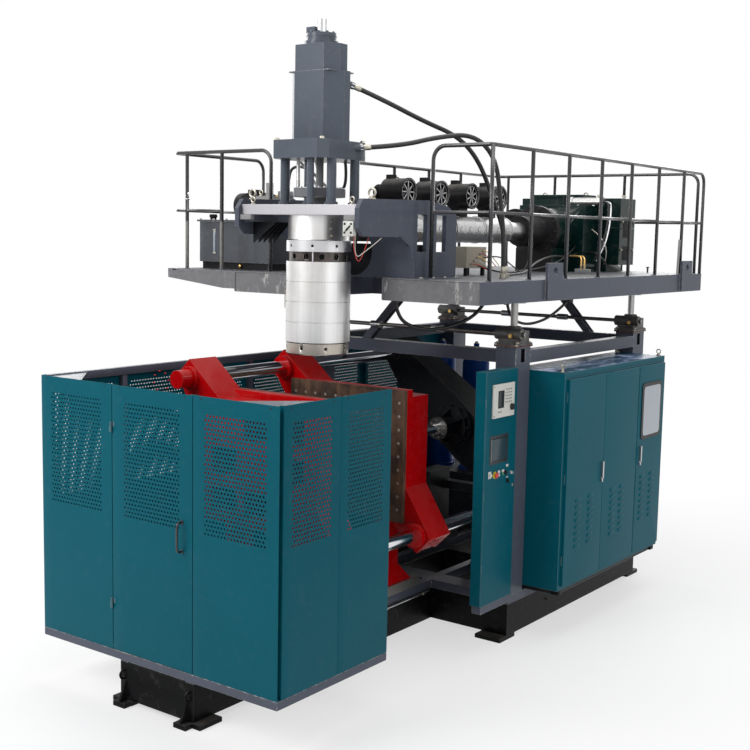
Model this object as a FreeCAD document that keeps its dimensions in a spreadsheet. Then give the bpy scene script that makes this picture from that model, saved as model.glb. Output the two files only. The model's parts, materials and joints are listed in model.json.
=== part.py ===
import FreeCAD, Part
import math
import os
import re
import Sketcher

# Accumulator-head blow moulding machine, in millimetres.
# +Z is up, +Y runs back along the machine from the guard to the electric cabinet side,
# +X is the operator's side. The origin lies on the floor, in the middle of the four anchor holes.

Vector = FreeCAD.Vector
document = FreeCAD.newDocument("blow_moulding_machine")
sheet = document.addObject("Spreadsheet::Sheet", "Sizes")

# ---------------------------------------------------------------- driving dimensions
SIZES = [
    # base
    ("floor_plate", 35, "thickness of the foot plates"),
    ("base_top", 310, "top of the black base beams"),
    ("bed_top", 385, "top of the grey bed frame and of the slide rails"),
    ("base_half_x", 1145, "half width of the wide base"),
    ("base_half_y", 1287, "half length of the wide base"),
    ("base_beam", 200, "width of the wide base's beams"),
    ("foot_size", 250, "side of the wide base's foot plates"),
    ("foot_reach", 110, "how far a foot plate stands out of the base"),
    ("anchor_hole", 22, "diameter of the anchor holes"),
    ("anchor_edge", 55, "anchor hole centre to the outer edge of its plate"),
    ("bed_half_x", 368, "half width of the narrow clamp bed"),
    ("bed_front", -4238, "front end of the clamp bed"),
    ("rail_wide", 80, "width of a slide rail"),
    ("bed_beam", 120, "width of the clamp bed's side beams"),
    # posts, upper frame and lifting jacks
    ("post_x", 193, "post width across the machine"),
    ("post_y", 245, "post depth along the machine"),
    ("post_wall", 12, "wall of the post tubes"),
    ("post_top", 2503, "top of the post tubes"),
    ("cap_thick", 16, "thickness of the post cap plates"),
    ("cap_lip", 14, "how far a cap plate stands out of its post"),
    ("ring_low", 2360, "underside of the upper frame"),
    ("ring_tall", 110, "height of the upper frame's beams"),
    ("ring_wide", 100, "width of the upper frame's beams"),
    ("jack_size", 210, "side of a jack housing"),
    ("jack_tall", 120, "height of a jack housing"),
    ("screw_radius", 30, "radius of the lifting screws"),
    ("screw_play", 2, "play of a lifting screw in its cap plate"),
    ("worm_offset", 72, "lift shaft line in front of the screw axis"),
    ("worm_high", 92, "lift shaft line above the post cap"),
    ("shaft_radius", 18, "radius of the lift shafts"),
    # guard
    ("guard_front", -4283, "outer face of the front guard"),
    ("guard_half", 1169, "half width of the guard"),
    ("guard_thick", 40, "thickness of a guard panel"),
    ("guard_sheet", 3, "sheet thickness of the guard panels"),
    ("guard_top", 2332, "top of the guard"),
    ("sill_low", 344, "underside of the guard sill"),
    ("sill_tall", 60, "height of the guard sill"),
    ("sill_wide", 45, "width of the guard sill"),
    ("guard_right_rear", -3078, "rear end of the right guard side"),
    ("door_left", -395, "hinge line of the guard door"),
    ("door_right", 404, "closing gap of the guard door"),
    ("door_gap", 2, "half of the gap round the guard door"),
    ("hinge_radius", 9, "radius of the guard door's hinge knuckles"),
    ("hinge_low", 750, "height of the lower hinge"),
    ("hinge_drop", 302, "height of the upper hinge below the guard's top"),
    ("knuckle", 38, "length of one hinge knuckle"),
    ("handle_edge", 99, "bow handle inside the door's free edge"),
    ("handle_reach", 48, "how far the bow handle stands out"),
    ("handle_low", 1241, "lower end of the bow handle"),
    ("handle_tall", 222, "height of the bow handle"),
    ("handle_radius", 9, "radius of the bow handle's rod"),
    # clamp
    ("clamp_high", 1625, "height of the clamp's centre line"),
    ("bar_x", 705, "tie bar offset across the machine"),
    ("bar_z", 630, "tie bar offset above and below the centre line"),
    ("bar_radius", 55, "radius of the tie bars"),
    ("fit", 0.06, "radial clearance of turned fits"),
    ("plate_half_x", 600, "half width of the mould plates"),
    ("plate_half_z", 545, "half height of the mould plates"),
    ("plate_thick", 75, "thickness of a platen's mounting plate"),
    ("mould_plate", 35, "thickness of a mould plate"),
    ("platen_deep", 300, "depth of a platen"),
    ("platen_step", 60, "how much lower the ribbed box ends than the plate"),
    ("arm_out_x", 150, "corner of an arm beyond the tie bar, across"),
    ("arm_out_z", 150, "corner of an arm beyond the tie bar, upwards"),
    ("arm_root", 325, "where an arm's inner edge meets the mounting plate"),
    ("arm_side", 255, "where an arm's outer edge meets the platen's side"),
    ("half_daylight", 385, "mould face to the head axis with the clamp open"),
    ("clamp_stroke", 240, "travel of each platen"),
    ("tail_gap", 1685, "open mould face of the moving platen to the tail platen"),
    ("tail_deep", 390, "depth of the tail platen"),
    ("rod_radius", 47, "radius of the clamp piston rod"),
    ("rod_long", 2100, "length of the clamp piston rod"),
    ("barrel_radius", 150, "radius of the clamp cylinder"),
    ("bore_radius", 100, "bore radius of the clamp cylinder"),
    ("shoe_long", 600, "length of a slide shoe"),
    ("shoe_tall", 85, "height of a slide shoe"),
    ("slide_gap", 0.3, "running gap under a slide shoe"),
    # head
    ("head_y", -2483, "head axis along the machine"),
    ("sleeve_radius", 258, "outer radius of the head sleeve"),
    ("die_low", 2460, "underside of the die ring"),
    ("die_top", 2553, "top of the die ring"),
    ("band_1", 2717, "first joint between the sleeve's bands"),
    ("band_2", 2877, "second joint between the sleeve's bands"),
    ("band_3", 3035, "third joint between the sleeve's bands"),
    ("sleeve_top", 3192, "top of the heater sleeve"),
    ("collar_low", 3269, "underside of the head collar"),
    ("collar_top", 3360, "top of the head collar"),
    ("head_plate_low", 3553, "underside of the head plate"),
    ("head_plate_thick", 80, "thickness of the head plate"),
    ("head_plate_half", 585, "half width of the head plate's front edge"),
    ("head_plate_reach", 270, "head axis to the head plate's front edge"),
    ("column_x", 235, "head column offset across"),
    ("column_y", 146, "head column offset along the machine"),
    ("column_radius", 38, "radius of the head columns"),
    ("block_low", 3986, "underside of the cylinder block"),
    ("block_tall", 142, "height of the cylinder block"),
    ("block_half_x", 272, "half width of the cylinder block"),
    ("block_half_y", 310, "half depth of the cylinder block"),
    ("push_radius", 205, "radius of the push disc"),
    ("push_thick", 72, "thickness of the push disc"),
    ("push_high", 62, "push disc above the head plate, nearly emptied"),
    ("push_rod", 30, "radius of the push disc's rod"),
    # lifting platform
    ("deck_low", 2886, "underside of the platform"),
    ("deck_top", 3066, "top of the platform"),
    ("deck_half", 1265, "half width of the platform"),
    ("deck_front", -2097, "front edge of the platform"),
    ("deck_rear", 2439, "rear edge of the platform"),
    ("deck_beam", 100, "width of the platform's beams"),
    ("deck_plate", 6, "thickness of the deck plate"),
    ("notch_half", 352, "half width of the notch round the head"),
    ("notch_inset", 4, "rear end of the notch behind the front face of the posts"),
    ("wing_left", -2114, "outer end of the left wing"),
    ("wing_rear", -833, "rear edge of the left wing"),
    ("rail_radius", 16.5, "radius of the railing tubes"),
    ("rail_top", 4116, "centre height of the top rail"),
    ("rail_mid", 3597, "centre height of the middle rail"),
    ("loop_reach", 545, "width of the railing's front return"),
    ("rail_inset", 17, "railing centre line inside the platform's edge"),
    ("rail_pitch", 634, "distance between two stanchions"),
    ("lift_travel", 150, "lifting travel of the platform"),
    # extruder
    ("screw_high", 3475, "height of the extruder axis"),
    ("shell_radius", 122, "radius of the barrel's heater shells"),
    ("cheek_half", 625, "outer faces of the extruder support"),
    ("cheek_thick", 40, "thickness of the extruder support's cheek plates"),
    ("feed_front", 712, "front face of the feed housing"),
    ("blower_x", 120, "blower inlets, across the machine"),
    ("blower_first", -1417, "first blower, along the machine"),
    ("blower_pitch", 514, "distance between two blowers"),
    ("blower_high", 3782, "height of the blower axes"),
    ("blower_radius", 115, "radius of the blower housings"),
    # control column and cabinet
    ("column_out", 1170, "outer face of the control column"),
    ("column_thick", 100, "thickness of the control column"),
    ("column_wide", 496, "width of the control column, in front of the posts"),
    ("column_low", 412, "underside of the control column"),
    ("column_top", 2340, "top of the control column"),
    ("cabinet_back", 960, "inner face of the cabinet"),
    ("cabinet_out", 1504, "outer face of the cabinet doors"),
    ("cabinet_half", 1037, "half length of the cabinet"),
    ("cabinet_top", 2302, "top of the cabinet"),
    ("cabinet_wall", 20, "wall of the cabinet"),
    ("leaf_thick", 25, "thickness of a cabinet door"),
    ("leaf_low", 470, "lower edge of the cabinet doors"),
    ("leaf_high", 2240, "upper edge of the cabinet doors"),
]
ALIASES = [name for name, number, meaning in SIZES]
for row, (name, number, meaning) in enumerate(SIZES, 1):
    sheet.set(f"A{row}", meaning)
    sheet.set(f"B{row}", str(number))
    sheet.setAlias(f"B{row}", name)
document.recompute()


# ---------------------------------------------------------------- modelling helpers
def bound(text):
    """A formula in size names, written as an expression on the sheet."""
    def with_sheet(word):
        return "Sizes." + word.group() if word.group() in ALIASES else word.group()
    return re.sub(r"[a-z][a-z0-9_]*", with_sheet, str(text))


def size(text):
    """The present value of a formula in size names."""
    return float(sheet.evalExpression(bound(text)))


def bind(item, **properties):
    for key, text in properties.items():
        item.setExpression(key, bound(text))
    return item


def place(item, where, turn=None):
    """Bind an object's place to the sheet; turn is an axis and an angle formula."""
    if turn:
        axis, angle = turn
        item.Placement = FreeCAD.Placement(Vector(), FreeCAD.Rotation(axis, size(angle)))
    for letter, text in zip("xyz", where):
        item.setExpression(f"Placement.Base.{letter}", bound(text))
    return item


def box(name, span, corner):
    item = document.addObject("Part::Box", name)
    bind(item, Length=span[0], Width=span[1], Height=span[2])
    return place(item, corner)


def block(name, span, middle):
    """A box given by its size, the centre of its underside and the height of that."""
    corner = (f"({middle[0]})-({span[0]})/2", f"({middle[1]})-({span[1]})/2", middle[2])
    return box(name, span, corner)


TURNS = {
    "x": (Vector(0, 1, 0), "90"),
    "y": (Vector(1, 0, 0), "-90"),
    "z": None,
}


def rod(name, radius, length, start, axis="z"):
    """A cylinder from its start point along one axis."""
    item = document.addObject("Part::Cylinder", name)
    bind(item, Radius=radius, Height=length)
    return place(item, start, TURNS[axis])


def cone(name, radius1, radius2, length, start, axis="z"):
    item = document.addObject("Part::Cone", name)
    bind(item, Radius1=radius1, Radius2=radius2, Height=length)
    return place(item, start, TURNS[axis])


def fuse(name, parts):
    item = document.addObject("Part::MultiFuse", name)
    item.Shapes = parts
    item.Refine = True
    return item


def group(name, parts):
    """Separate solids that share one node."""
    item = document.addObject("Part::Compound", name)
    item.Links = parts
    return item


def cut(name, base, tools):
    item = document.addObject("Part::Cut", name)
    item.Base = base
    item.Tool = tools[0] if len(tools) == 1 else group(name + "_tools", tools)
    return item


def sketch(body, plane, name, loops):
    """A sketch of closed polygons whose corners are bound to the sheet."""
    drawing = body.newObject("Sketcher::SketchObject", name)
    support = [item for item in body.Origin.OriginFeatures if item.Role == plane][0]
    drawing.AttachmentSupport = [(support, "")]
    drawing.MapMode = "FlatFace"
    for corners in loops:
        first = drawing.GeometryCount
        spots = [Vector(size(u), size(v), 0) for u, v in corners]
        count = len(spots)
        for k in range(count):
            drawing.addGeometry(Part.LineSegment(spots[k], spots[(k + 1) % count]), False)
        for k in range(count):
            after = first + (k + 1) % count
            drawing.addConstraint(Sketcher.Constraint("Coincident", first + k, 2, after, 1))
        for k, (u, v) in enumerate(corners):
            across, along = ("DistanceX", -2, u, spots[k].x), ("DistanceY", -1, v, spots[k].y)
            for kind, axis, text, number in (across, along):
                if text == "0":
                    drawing.addConstraint(Sketcher.Constraint("PointOnObject", first + k, 1, axis))
                    continue
                held = Sketcher.Constraint(kind, -1, 1, first + k, 1, number)
                index = drawing.addConstraint(held)
                drawing.setExpression(f"Constraints[{index}]", bound(text))
    return drawing


def padded(name, plane, loops, depth, where, turn=None):
    """A PartDesign body: closed outlines padded by a depth, along the plane's normal."""
    body = document.addObject("PartDesign::Body", name)
    pad = body.newObject("PartDesign::Pad", name + "_pad")
    pad.Profile = sketch(body, plane, name + "_outline", loops)
    bind(pad, Length=depth)
    body.Tip = pad
    return place(body, where, turn)


def revolved(name, outline, where, turn=None):
    """A PartDesign body turned about its own Z axis; the outline gives radius and height."""
    body = document.addObject("PartDesign::Body", name)
    turning = body.newObject("PartDesign::Revolution", name + "_turning")
    drawing = sketch(body, "XZ_Plane", name + "_section", [outline])
    turning.Profile = drawing
    turning.ReferenceAxis = (drawing, ["V_Axis"])
    turning.Angle = 360
    body.Tip = turning
    return place(body, where, turn)


FINAL = []


def finish(item, label):
    """Mark an object as a sub-part: its label names its file."""
    item.Label = label
    FINAL.append(item)
    return item


def route(path):
    """A wire of straight runs joined by tangent arcs; path holds points and bend radii."""
    points = [Vector(*spot) for spot, bend in path]
    edges = []
    start = points[0]
    for k in range(1, len(points)):
        if k == len(points) - 1:
            edges.append(Part.LineSegment(start, points[k]).toShape())
            break
        back = (points[k - 1] - points[k]).normalize()
        ahead = (points[k + 1] - points[k]).normalize()
        half = back.getAngle(ahead) / 2
        bend = path[k][1]
        reach = bend / math.tan(half)
        enter = points[k] + back * reach
        leave = points[k] + ahead * reach
        middle_way = (back + ahead).normalize()
        middle = points[k] + middle_way * (bend / math.sin(half) - bend)
        edges.append(Part.LineSegment(start, enter).toShape())
        edges.append(Part.Arc(enter, middle, leave).toShape())
        start = leave
    return Part.Wire(edges)


def tube(path, radius):
    """A round bar bent along a route."""
    start, ahead = Vector(*path[0][0]), Vector(*path[1][0])
    ring = Part.Wire(Part.Circle(start, ahead - start, radius).toShape())
    return route(path).makePipeShell([ring], True, True)


# ---------------------------------------------------------------- base
def build_clamp_base():
    long_way = "-base_half_y-bed_front"
    beams = []
    for side in (-1, 1):
        middle = f"{side}*(bed_half_x-bed_beam/2)"
        span = ("bed_beam", long_way, "base_top-floor_plate")
        beams.append(block(f"bed_side_{side}", span, (middle, "(bed_front-base_half_y)/2", "floor_plate")))
    inner = "2*(bed_half_x-bed_beam)"
    for k in range(4):
        spot = f"bed_front+60+{k}*(-base_half_y-bed_front-120)/3"
        beams.append(block(f"bed_cross_{k}", (inner, "120", "base_top-floor_plate"),
                           ("0", spot, "floor_plate")))
    for side in (-1, 1):
        for spot in ("bed_front+100", "bed_front+1700"):
            middle = (f"{side}*(bed_half_x-25)", spot, "0")
            beams.append(block("bed_foot", ("200", "219", "floor_plate"), middle))
        rib = padded("bed_rib", "YZ_Plane", [[("0", "0"), ("75", "0"), ("75", "160")]], "16",
                     (f"{side}*(bed_half_x-60)-8", "bed_front-75", "floor_plate"))
        beams.append(rib)
        beams.append(block("bed_rib_foot", ("120", "75", "floor_plate"),
                           (f"{side}*(bed_half_x-60)", "bed_front-37.5", "0")))
    finish(fuse("clamp_base", beams), "clamp_base")


def build_main_base():
    tall = "base_top-floor_plate"
    beams = []
    for side in (-1, 1):
        beams.append(block("base_side", ("base_beam", "2*base_half_y", tall),
                           (f"{side}*(base_half_x-base_beam/2)", "0", "floor_plate")))
        beams.append(block("base_end", ("2*(base_half_x-base_beam)", "base_beam", tall),
                           ("0", f"{side}*(base_half_y-base_beam/2)", "floor_plate")))
        beams.append(block("base_inner", ("bed_beam", "2*(base_half_y-base_beam)", tall),
                           (f"{side}*(bed_half_x-bed_beam/2)", "0", "floor_plate")))
        for end in (-1, 1):
            spot = (f"{side}*(base_half_x-foot_size/2)", f"{end}*(base_half_y+foot_reach-foot_size/2)", "0")
            beams.append(block("base_foot", ("foot_size", "foot_size", "floor_plate"), spot))
    beams.append(block("base_cross", ("2*(base_half_x-base_beam)", "base_beam", tall),
                       ("0", "0", "floor_plate")))
    holes = []
    for side in (-1, 1):
        for end in (-1, 1):
            spot = (f"{side}*(base_half_x-foot_size/2)", f"{end}*(base_half_y+foot_reach-anchor_edge)", "-5")
            holes.append(rod("anchor", "anchor_hole/2", "floor_plate+10", spot))
    finish(cut("main_base", fuse("base_weldment", beams), holes), "main_base")


def build_slide_rails():
    """Grey bed frame: the two front rails, the ring under the posts and the inner rails."""
    tall = "bed_top-base_top"
    pieces = []
    for side in (-1, 1):
        middle = f"{side}*(bed_half_x-rail_wide/2)"
        pieces.append(block("front_rail", ("rail_wide", "-base_half_y-bed_front", tall),
                            (middle, "(bed_front-base_half_y)/2", "base_top")))
        pieces.append(block("inner_rail", ("rail_wide", "2*(base_half_y-base_beam)", tall),
                            (middle, "0", "base_top")))
        pieces.append(block("ring_side", ("base_beam", "2*base_half_y", tall),
                            (f"{side}*(base_half_x-base_beam/2)", "0", "base_top")))
        pieces.append(block("ring_end", ("2*(base_half_x-base_beam)", "base_beam", tall),
                            ("0", f"{side}*(base_half_y-base_beam/2)", "base_top")))
    finish(fuse("slide_rails", pieces), "slide_rails")


# ---------------------------------------------------------------- posts and lifting jacks
POST_X = "(base_half_x-post_x/2)"
POST_Y = "(base_half_y-post_y/2)"
CORNERS = [(side, end) for side in (-1, 1) for end in (-1, 1)]


def build_post_frame():
    """Four posts with cap plates and the beams that tie them at the top."""
    posts = []
    for side, end in CORNERS:
        middle = (f"{side}*{POST_X}", f"{end}*{POST_Y}")
        tall = "post_top-bed_top"
        outer = block("post_outer", ("post_x", "post_y", tall), (*middle, "bed_top"))
        cap_span = ("post_x+2*cap_lip", "post_y+2*cap_lip", "cap_thick")
        cap = block("post_cap", cap_span, (*middle, "post_top"))
        hollow = block("post_hollow", ("post_x-2*post_wall", "post_y-2*post_wall", f"{tall}+1"),
                       (*middle, "bed_top-1"))
        window = block("post_window", ("post_wall+20", "70", "115"),
                       (f"{side}*(base_half_x-post_wall/2)", middle[1], "post_top-130"))
        screw_way = rod("cap_hole", "screw_radius+screw_play", "cap_thick+2", (*middle, "post_top-1"))
        posts.append(cut("post", fuse("post_raw", [outer, cap]), [hollow, window, screw_way]))
    beams = []
    for side in (-1, 1):
        beams.append(block("ring_front_rear", ("2*(base_half_x-post_x)", "ring_wide", "ring_tall"),
                           ("0", f"{side}*{POST_Y}", "ring_low")))
        beams.append(block("ring_left_right", ("ring_wide", "2*(base_half_y-post_y)", "ring_tall"),
                           (f"{side}*(base_half_x-ring_wide/2)", "0", "ring_low")))
    finish(group("post_frame", posts + beams), "post_frame")


JACK_LOW = "(post_top+cap_thick)"
SHAFT_Z = "(post_top+cap_thick+worm_high)"


def shaft_y(end):
    return f"({end}*{POST_Y}-worm_offset)"


def build_screw_jacks():
    jacks = []
    for side, end in CORNERS:
        middle = (f"{side}*{POST_X}", f"{end}*{POST_Y}")
        flange = block("jack_flange", ("jack_size+20", "jack_size+30", "18"), (*middle, JACK_LOW))
        housing = block("jack_housing", ("jack_size", "jack_size", "jack_tall"), (*middle, JACK_LOW))
        edges = document.addObject("Part::Chamfer", "jack_chamfer")
        edges.Base = housing
        document.recompute()
        upright = [k + 1 for k, edge in enumerate(housing.Shape.Edges)
                   if abs(edge.tangentAt(edge.FirstParameter).z) > 0.9]
        edges.Edges = [(k, 26.0, 26.0) for k in upright]
        neck = cone("jack_neck", "75", "58", "34", (*middle, f"{JACK_LOW}+jack_tall"))
        worm = rod("worm_boss", "50", "jack_size+36",
                   (f"{side}*{POST_X}-jack_size/2-18", shaft_y(end), SHAFT_Z), "x")
        screw_way = rod("screw_way", "screw_radius+screw_play", "jack_tall+60", (*middle, f"{JACK_LOW}-2"))
        shaft_way = rod("shaft_way", "shaft_radius+fit", "jack_size+60",
                        (f"{side}*{POST_X}-jack_size/2-30", shaft_y(end), SHAFT_Z), "x")
        jacks.append(cut("jack", fuse("jack_raw", [flange, edges, neck, worm]), [screw_way, shaft_way]))
    finish(group("screw_jacks", jacks), "screw_jacks")


def build_lift_shafts():
    for end, label in ((-1, "lift_shaft_front"), (1, "lift_shaft_rear")):
        reach = f"({POST_X}+jack_size/2+45)"
        bar = rod("shaft_bar", "shaft_radius", f"2*{reach}", (f"-{reach}", shaft_y(end), SHAFT_Z), "x")
        sleeves = [rod("shaft_sleeve", "shaft_radius+12", "110", (f"{spot}-55", shaft_y(end), SHAFT_Z), "x")
                   for spot in ("-330", "330")]
        finish(fuse(label, [bar] + sleeves), label)


# ---------------------------------------------------------------- guard
COLUMN_FRONT = "(-base_half_y-column_wide)"


def build_guard_sill():
    front = block("sill_front", ("2*guard_half", "sill_wide", "sill_tall"),
                  ("0", "guard_front+sill_wide/2", "sill_low"))
    right = box("sill_right", ("sill_wide", "guard_right_rear-guard_front", "sill_tall"),
                ("guard_half-sill_wide", "guard_front", "sill_low"))
    left = box("sill_left", ("sill_wide", "-base_half_y-guard_front", "sill_tall"),
               ("-guard_half", "guard_front", "sill_low"))
    tie_long = "guard_half-bed_half_x"
    right_tie = box("sill_tie_right", (tie_long, "sill_wide", "sill_wide-4"),
                    ("bed_half_x", "guard_right_rear-sill_wide", "sill_low"))
    left_ties = [box("sill_tie_left", (tie_long, "sill_wide", "sill_wide-4"),
                     ("-guard_half", spot, "sill_low"))
                 for spot in ("guard_right_rear-sill_wide", "guard_right_rear+1100")]
    column_foot = box("column_foot",
                      ("column_thick-10", "column_wide-23", "column_low-sill_low"),
                      ("column_out-column_thick+5", f"{COLUMN_FRONT}+23", "sill_low"))
    frame = fuse("sill_frame", [front, right, left, right_tie] + left_ties)
    finish(group("guard_sill", [frame, column_foot]), "guard_sill")


def tray(name, span, corner, open_side):
    """A folded sheet panel: a skin on the outer face and a flange all round, open on the inner side."""
    outer = box(name + "_outer", span, corner)
    thin = "guard_sheet"
    inner_span = [f"({text})-2*{thin}" for text in span]
    inner_corner = [f"({text})+{thin}" for text in corner]
    axis, sign = open_side
    inner_span[axis] = f"({span[axis]})-{thin}+1"
    inner_corner[axis] = f"({corner[axis]})+{thin}" if sign > 0 else f"({corner[axis]})-1"
    return outer, box(name + "_hollow", inner_span, inner_corner)


PANEL_TALL = "guard_top-sill_low-sill_tall"
PANEL_LOW = "sill_low+sill_tall"
HINGE_HIGH = "(guard_top-hinge_drop)"


def knuckles(level, upper):
    low = f"{level}+({1 if upper else -1}*knuckle-knuckle)/2+{0.2 if upper else 0}"
    return rod("knuckle", "hinge_radius", "knuckle-0.2", ("door_left", "guard_front-hinge_radius-0.3", low))


def build_guard_front():
    """The two fixed front panels; the left one carries the hinge halves and their pins."""
    hinge_y = "guard_front-hinge_radius-0.3"
    span = ("door_left-door_gap+guard_half", "guard_thick", PANEL_TALL)
    outer, hollow = tray("front_left", span, ("-guard_half", "guard_front", PANEL_LOW), (1, 1))
    left = [cut("front_left_tray", outer, [hollow])]
    for level in ("hinge_low", HINGE_HIGH):
        left.append(knuckles(level, False))
        left.append(box("hinge_leaf", ("hinge_radius+20", "3", "knuckle-0.2"),
                        ("door_left-hinge_radius-20", "guard_front-3", f"{level}-knuckle")))
        left.append(rod("hinge_pin", "4", "1.6*knuckle", ("door_left", hinge_y, f"{level}-0.9*knuckle")))
    span = ("guard_half-door_right-door_gap", "guard_thick", PANEL_TALL)
    outer, hollow = tray("front_right", span, ("door_right+door_gap", "guard_front", PANEL_LOW), (1, 1))
    right = cut("front_right_tray", outer, [hollow])
    finish(group("guard_front", [fuse("front_left_panel", left), right]), "guard_front")


def side_trays(name, x, start, pitch, count, low, tall, open_side):
    trays = []
    for k in range(count):
        outer, hollow = tray(f"{name}_{k}", ("guard_thick", pitch, tall), (x, f"{start}+{k}*({pitch})", low),
                             open_side)
        trays.append(cut(f"{name}_tray_{k}", outer, [hollow]))
    return trays


def build_guard_sides():
    """Folded side panels; on the left they run on between the posts."""
    start = "guard_front+guard_thick"
    half = f"(guard_right_rear-({start}))/2"
    right = side_trays("side_right", "guard_half-guard_thick", start, half, 2, PANEL_LOW, PANEL_TALL, (0, -1))
    finish(fuse("guard_side_right", right), "guard_side_right")

    quarter = f"(-base_half_y-({start}))/4"
    tall = f"{PANEL_TALL}-60"
    left = side_trays("side_left", "-guard_half", start, quarter, 4, PANEL_LOW, tall, (0, 1))
    left.append(box("side_left_rail", ("guard_thick+12", f"-base_half_y-({start})", "60"),
                    ("-guard_half", start, "guard_top-60")))
    third = "2*(base_half_y-post_y)/3"
    rear = side_trays("post_left", "-base_half_x", "-base_half_y+post_y", third, 3, "bed_top",
                      "ring_low-bed_top", (0, 1))
    finish(group("guard_side_left", [fuse("side_left_row", left), fuse("post_left_row", rear)]),
           "guard_side_left")


def build_guard_door():
    """The hinged middle panel, and its bow handle screwed on."""
    span = ("door_right-door_left-2*door_gap", "guard_thick", f"{PANEL_TALL}-6")
    outer, hollow = tray("door", span, ("door_left+door_gap", "guard_front", f"{PANEL_LOW}+3"), (1, 1))
    pieces = [cut("door_tray", outer, [hollow])]
    bores = []
    for level in ("hinge_low", HINGE_HIGH):
        pieces.append(knuckles(level, True))
        pieces.append(box("hinge_leaf", ("hinge_radius+20", "3", "knuckle-0.2"),
                          ("door_left", "guard_front-3", f"{level}+0.2")))
        bores.append(rod("hinge_bore", "4+fit", "knuckle+2",
                         ("door_left", "guard_front-hinge_radius-0.3", f"{level}-0.5")))
    bow = document.addObject("Part::Feature", "door_handle")
    front = size("guard_front")
    reach = size("guard_front") - size("handle_reach")
    spot = size("door_right") - size("handle_edge")
    low = size("handle_low")
    high = low + size("handle_tall")
    path = [((spot, front, low), 0), ((spot, reach, low), 18), ((spot, reach, high), 18),
            ((spot, front, high), 0)]
    bow.Shape = tube(path, size("handle_radius"))
    finish(group("guard_door", [cut("door_leaf", fuse("door_raw", pieces), bores), bow]), "guard_door")


# ---------------------------------------------------------------- clamp
def arm_outline(sign):
    """Half of a platen's outline: one flared arm and one side; both halves make a closed outline."""
    corner_x = f"{sign}*(bar_x+15)"
    corner_z = f"{-sign}*(bar_z+arm_out_z)"
    side_x = f"{sign}*(bar_x+arm_out_x)"
    side_z = f"{-sign}*(bar_z+15)"
    return [
        (f"{sign}*(bar_x-arm_root)", f"{-sign}*(plate_half_z-platen_step)"),
        (corner_x, corner_z),
        (side_x, side_z),
        (f"{sign}*(plate_half_x)", f"{-sign}*arm_side"),
        (f"{sign}*(plate_half_x)", f"{sign}*(plate_half_z-platen_step)"),
    ]


PLATEN_OUTLINE = arm_outline(1) + arm_outline(-1)


def platen_block(name, front):
    """The flared diagonal arms and the ribbed box between them; front is the low-Y face."""
    where = ("0", f"{front}+platen_deep", "clamp_high")
    return padded(name, "XZ_Plane", [PLATEN_OUTLINE], "platen_deep", where)


BARS = [(-1, 1), (1, -1)]


def bar_axis(pair):
    across, upward = pair
    return f"{across}*bar_x", f"clamp_high+{upward}*bar_z"


def tip_pocket(name, pair, front, deep="platen_deep"):
    """The open box end of an arm."""
    across, upward = pair
    x, z = bar_axis(pair)
    item = document.addObject("Part::Box", name)
    bind(item, Width=f"{deep}-90")
    tilt = math.degrees(math.atan2(size("bar_z"), size("bar_x")))
    angle = 90 - tilt if upward > 0 else 90 - tilt + 180
    item.Placement = FreeCAD.Placement(Vector(), FreeCAD.Rotation(Vector(0, 1, 0), -angle))
    out = Vector(across * size("bar_x"), 0, upward * size("bar_z")).normalize()
    side = Vector(out.z, 0, -out.x) if upward > 0 else Vector(-out.z, 0, out.x)
    spot = out * (size("arm_out_x") * 0.72 - 34) - side * (size("arm_out_x") * 0.52)
    bind(item, Length="1.04*arm_out_x", Height="90")
    item.Placement.Base = Vector(size(x) + spot.x, size(front) + 45, size(z) + spot.z)
    return item


def rib_pockets(front, opens_back):
    """Weight-saving pockets between the ribs of a platen's box, open on the side away from the mould."""
    pockets = []
    deep = "platen_deep-plate_thick"
    start = f"{front}+plate_thick" if opens_back else f"{front}-1"
    for column in (-1, 0, 1):
        for row in (-1, 0, 1):
            if (column, row) in ((0, 0), (-1, 1), (1, -1)):
                continue
            spot = (f"{column}*340", f"{start}+({deep}+1)/2", f"clamp_high+{row}*300-110")
            pockets.append(block("pocket", ("260", f"{deep}+1", "220"), spot))
    return pockets


def leg_and_shoe(name, middle_y, side, platen_side, leg_wide, leg_deep):
    """A slide shoe on its rail and the flared leg that carries the platen's box."""
    x = f"{side}*(bed_half_x-rail_wide/2)"
    shoe = block(name + "_shoe", ("rail_wide+16", "shoe_long", "shoe_tall"),
                 (x, middle_y, "bed_top+slide_gap"))
    leg_low = "bed_top+slide_gap+shoe_tall"
    tall = f"clamp_high-plate_half_z+platen_step-({leg_low})"
    near = f"{middle_y}-({platen_side})*shoe_long/2"
    s = "" if platen_side > 0 else "-"
    outline = [("0", "0"), (f"{s}({leg_deep}+200)", "0"), (f"{s}({leg_deep})", "170"),
               (f"{s}({leg_deep})", tall), ("0", tall)]
    start = f"({near})+({platen_side})*20"
    leg = padded(name + "_leg", "YZ_Plane", [outline], leg_wide, (f"{x}-({leg_wide})/2", start, leg_low))
    return [shoe, leg]


MOULD_FRONT = "(head_y-half_daylight)"
MOULD_REAR = "(head_y+half_daylight)"
FRONT_PLATEN = "(head_y-half_daylight-mould_plate-platen_deep)"
MOVING_PLATEN = "(head_y+half_daylight+mould_plate)"
TAIL_PLATEN = "(head_y+half_daylight+tail_gap)"
BAR_START = "(head_y-half_daylight-mould_plate-platen_deep-140)"


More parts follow.
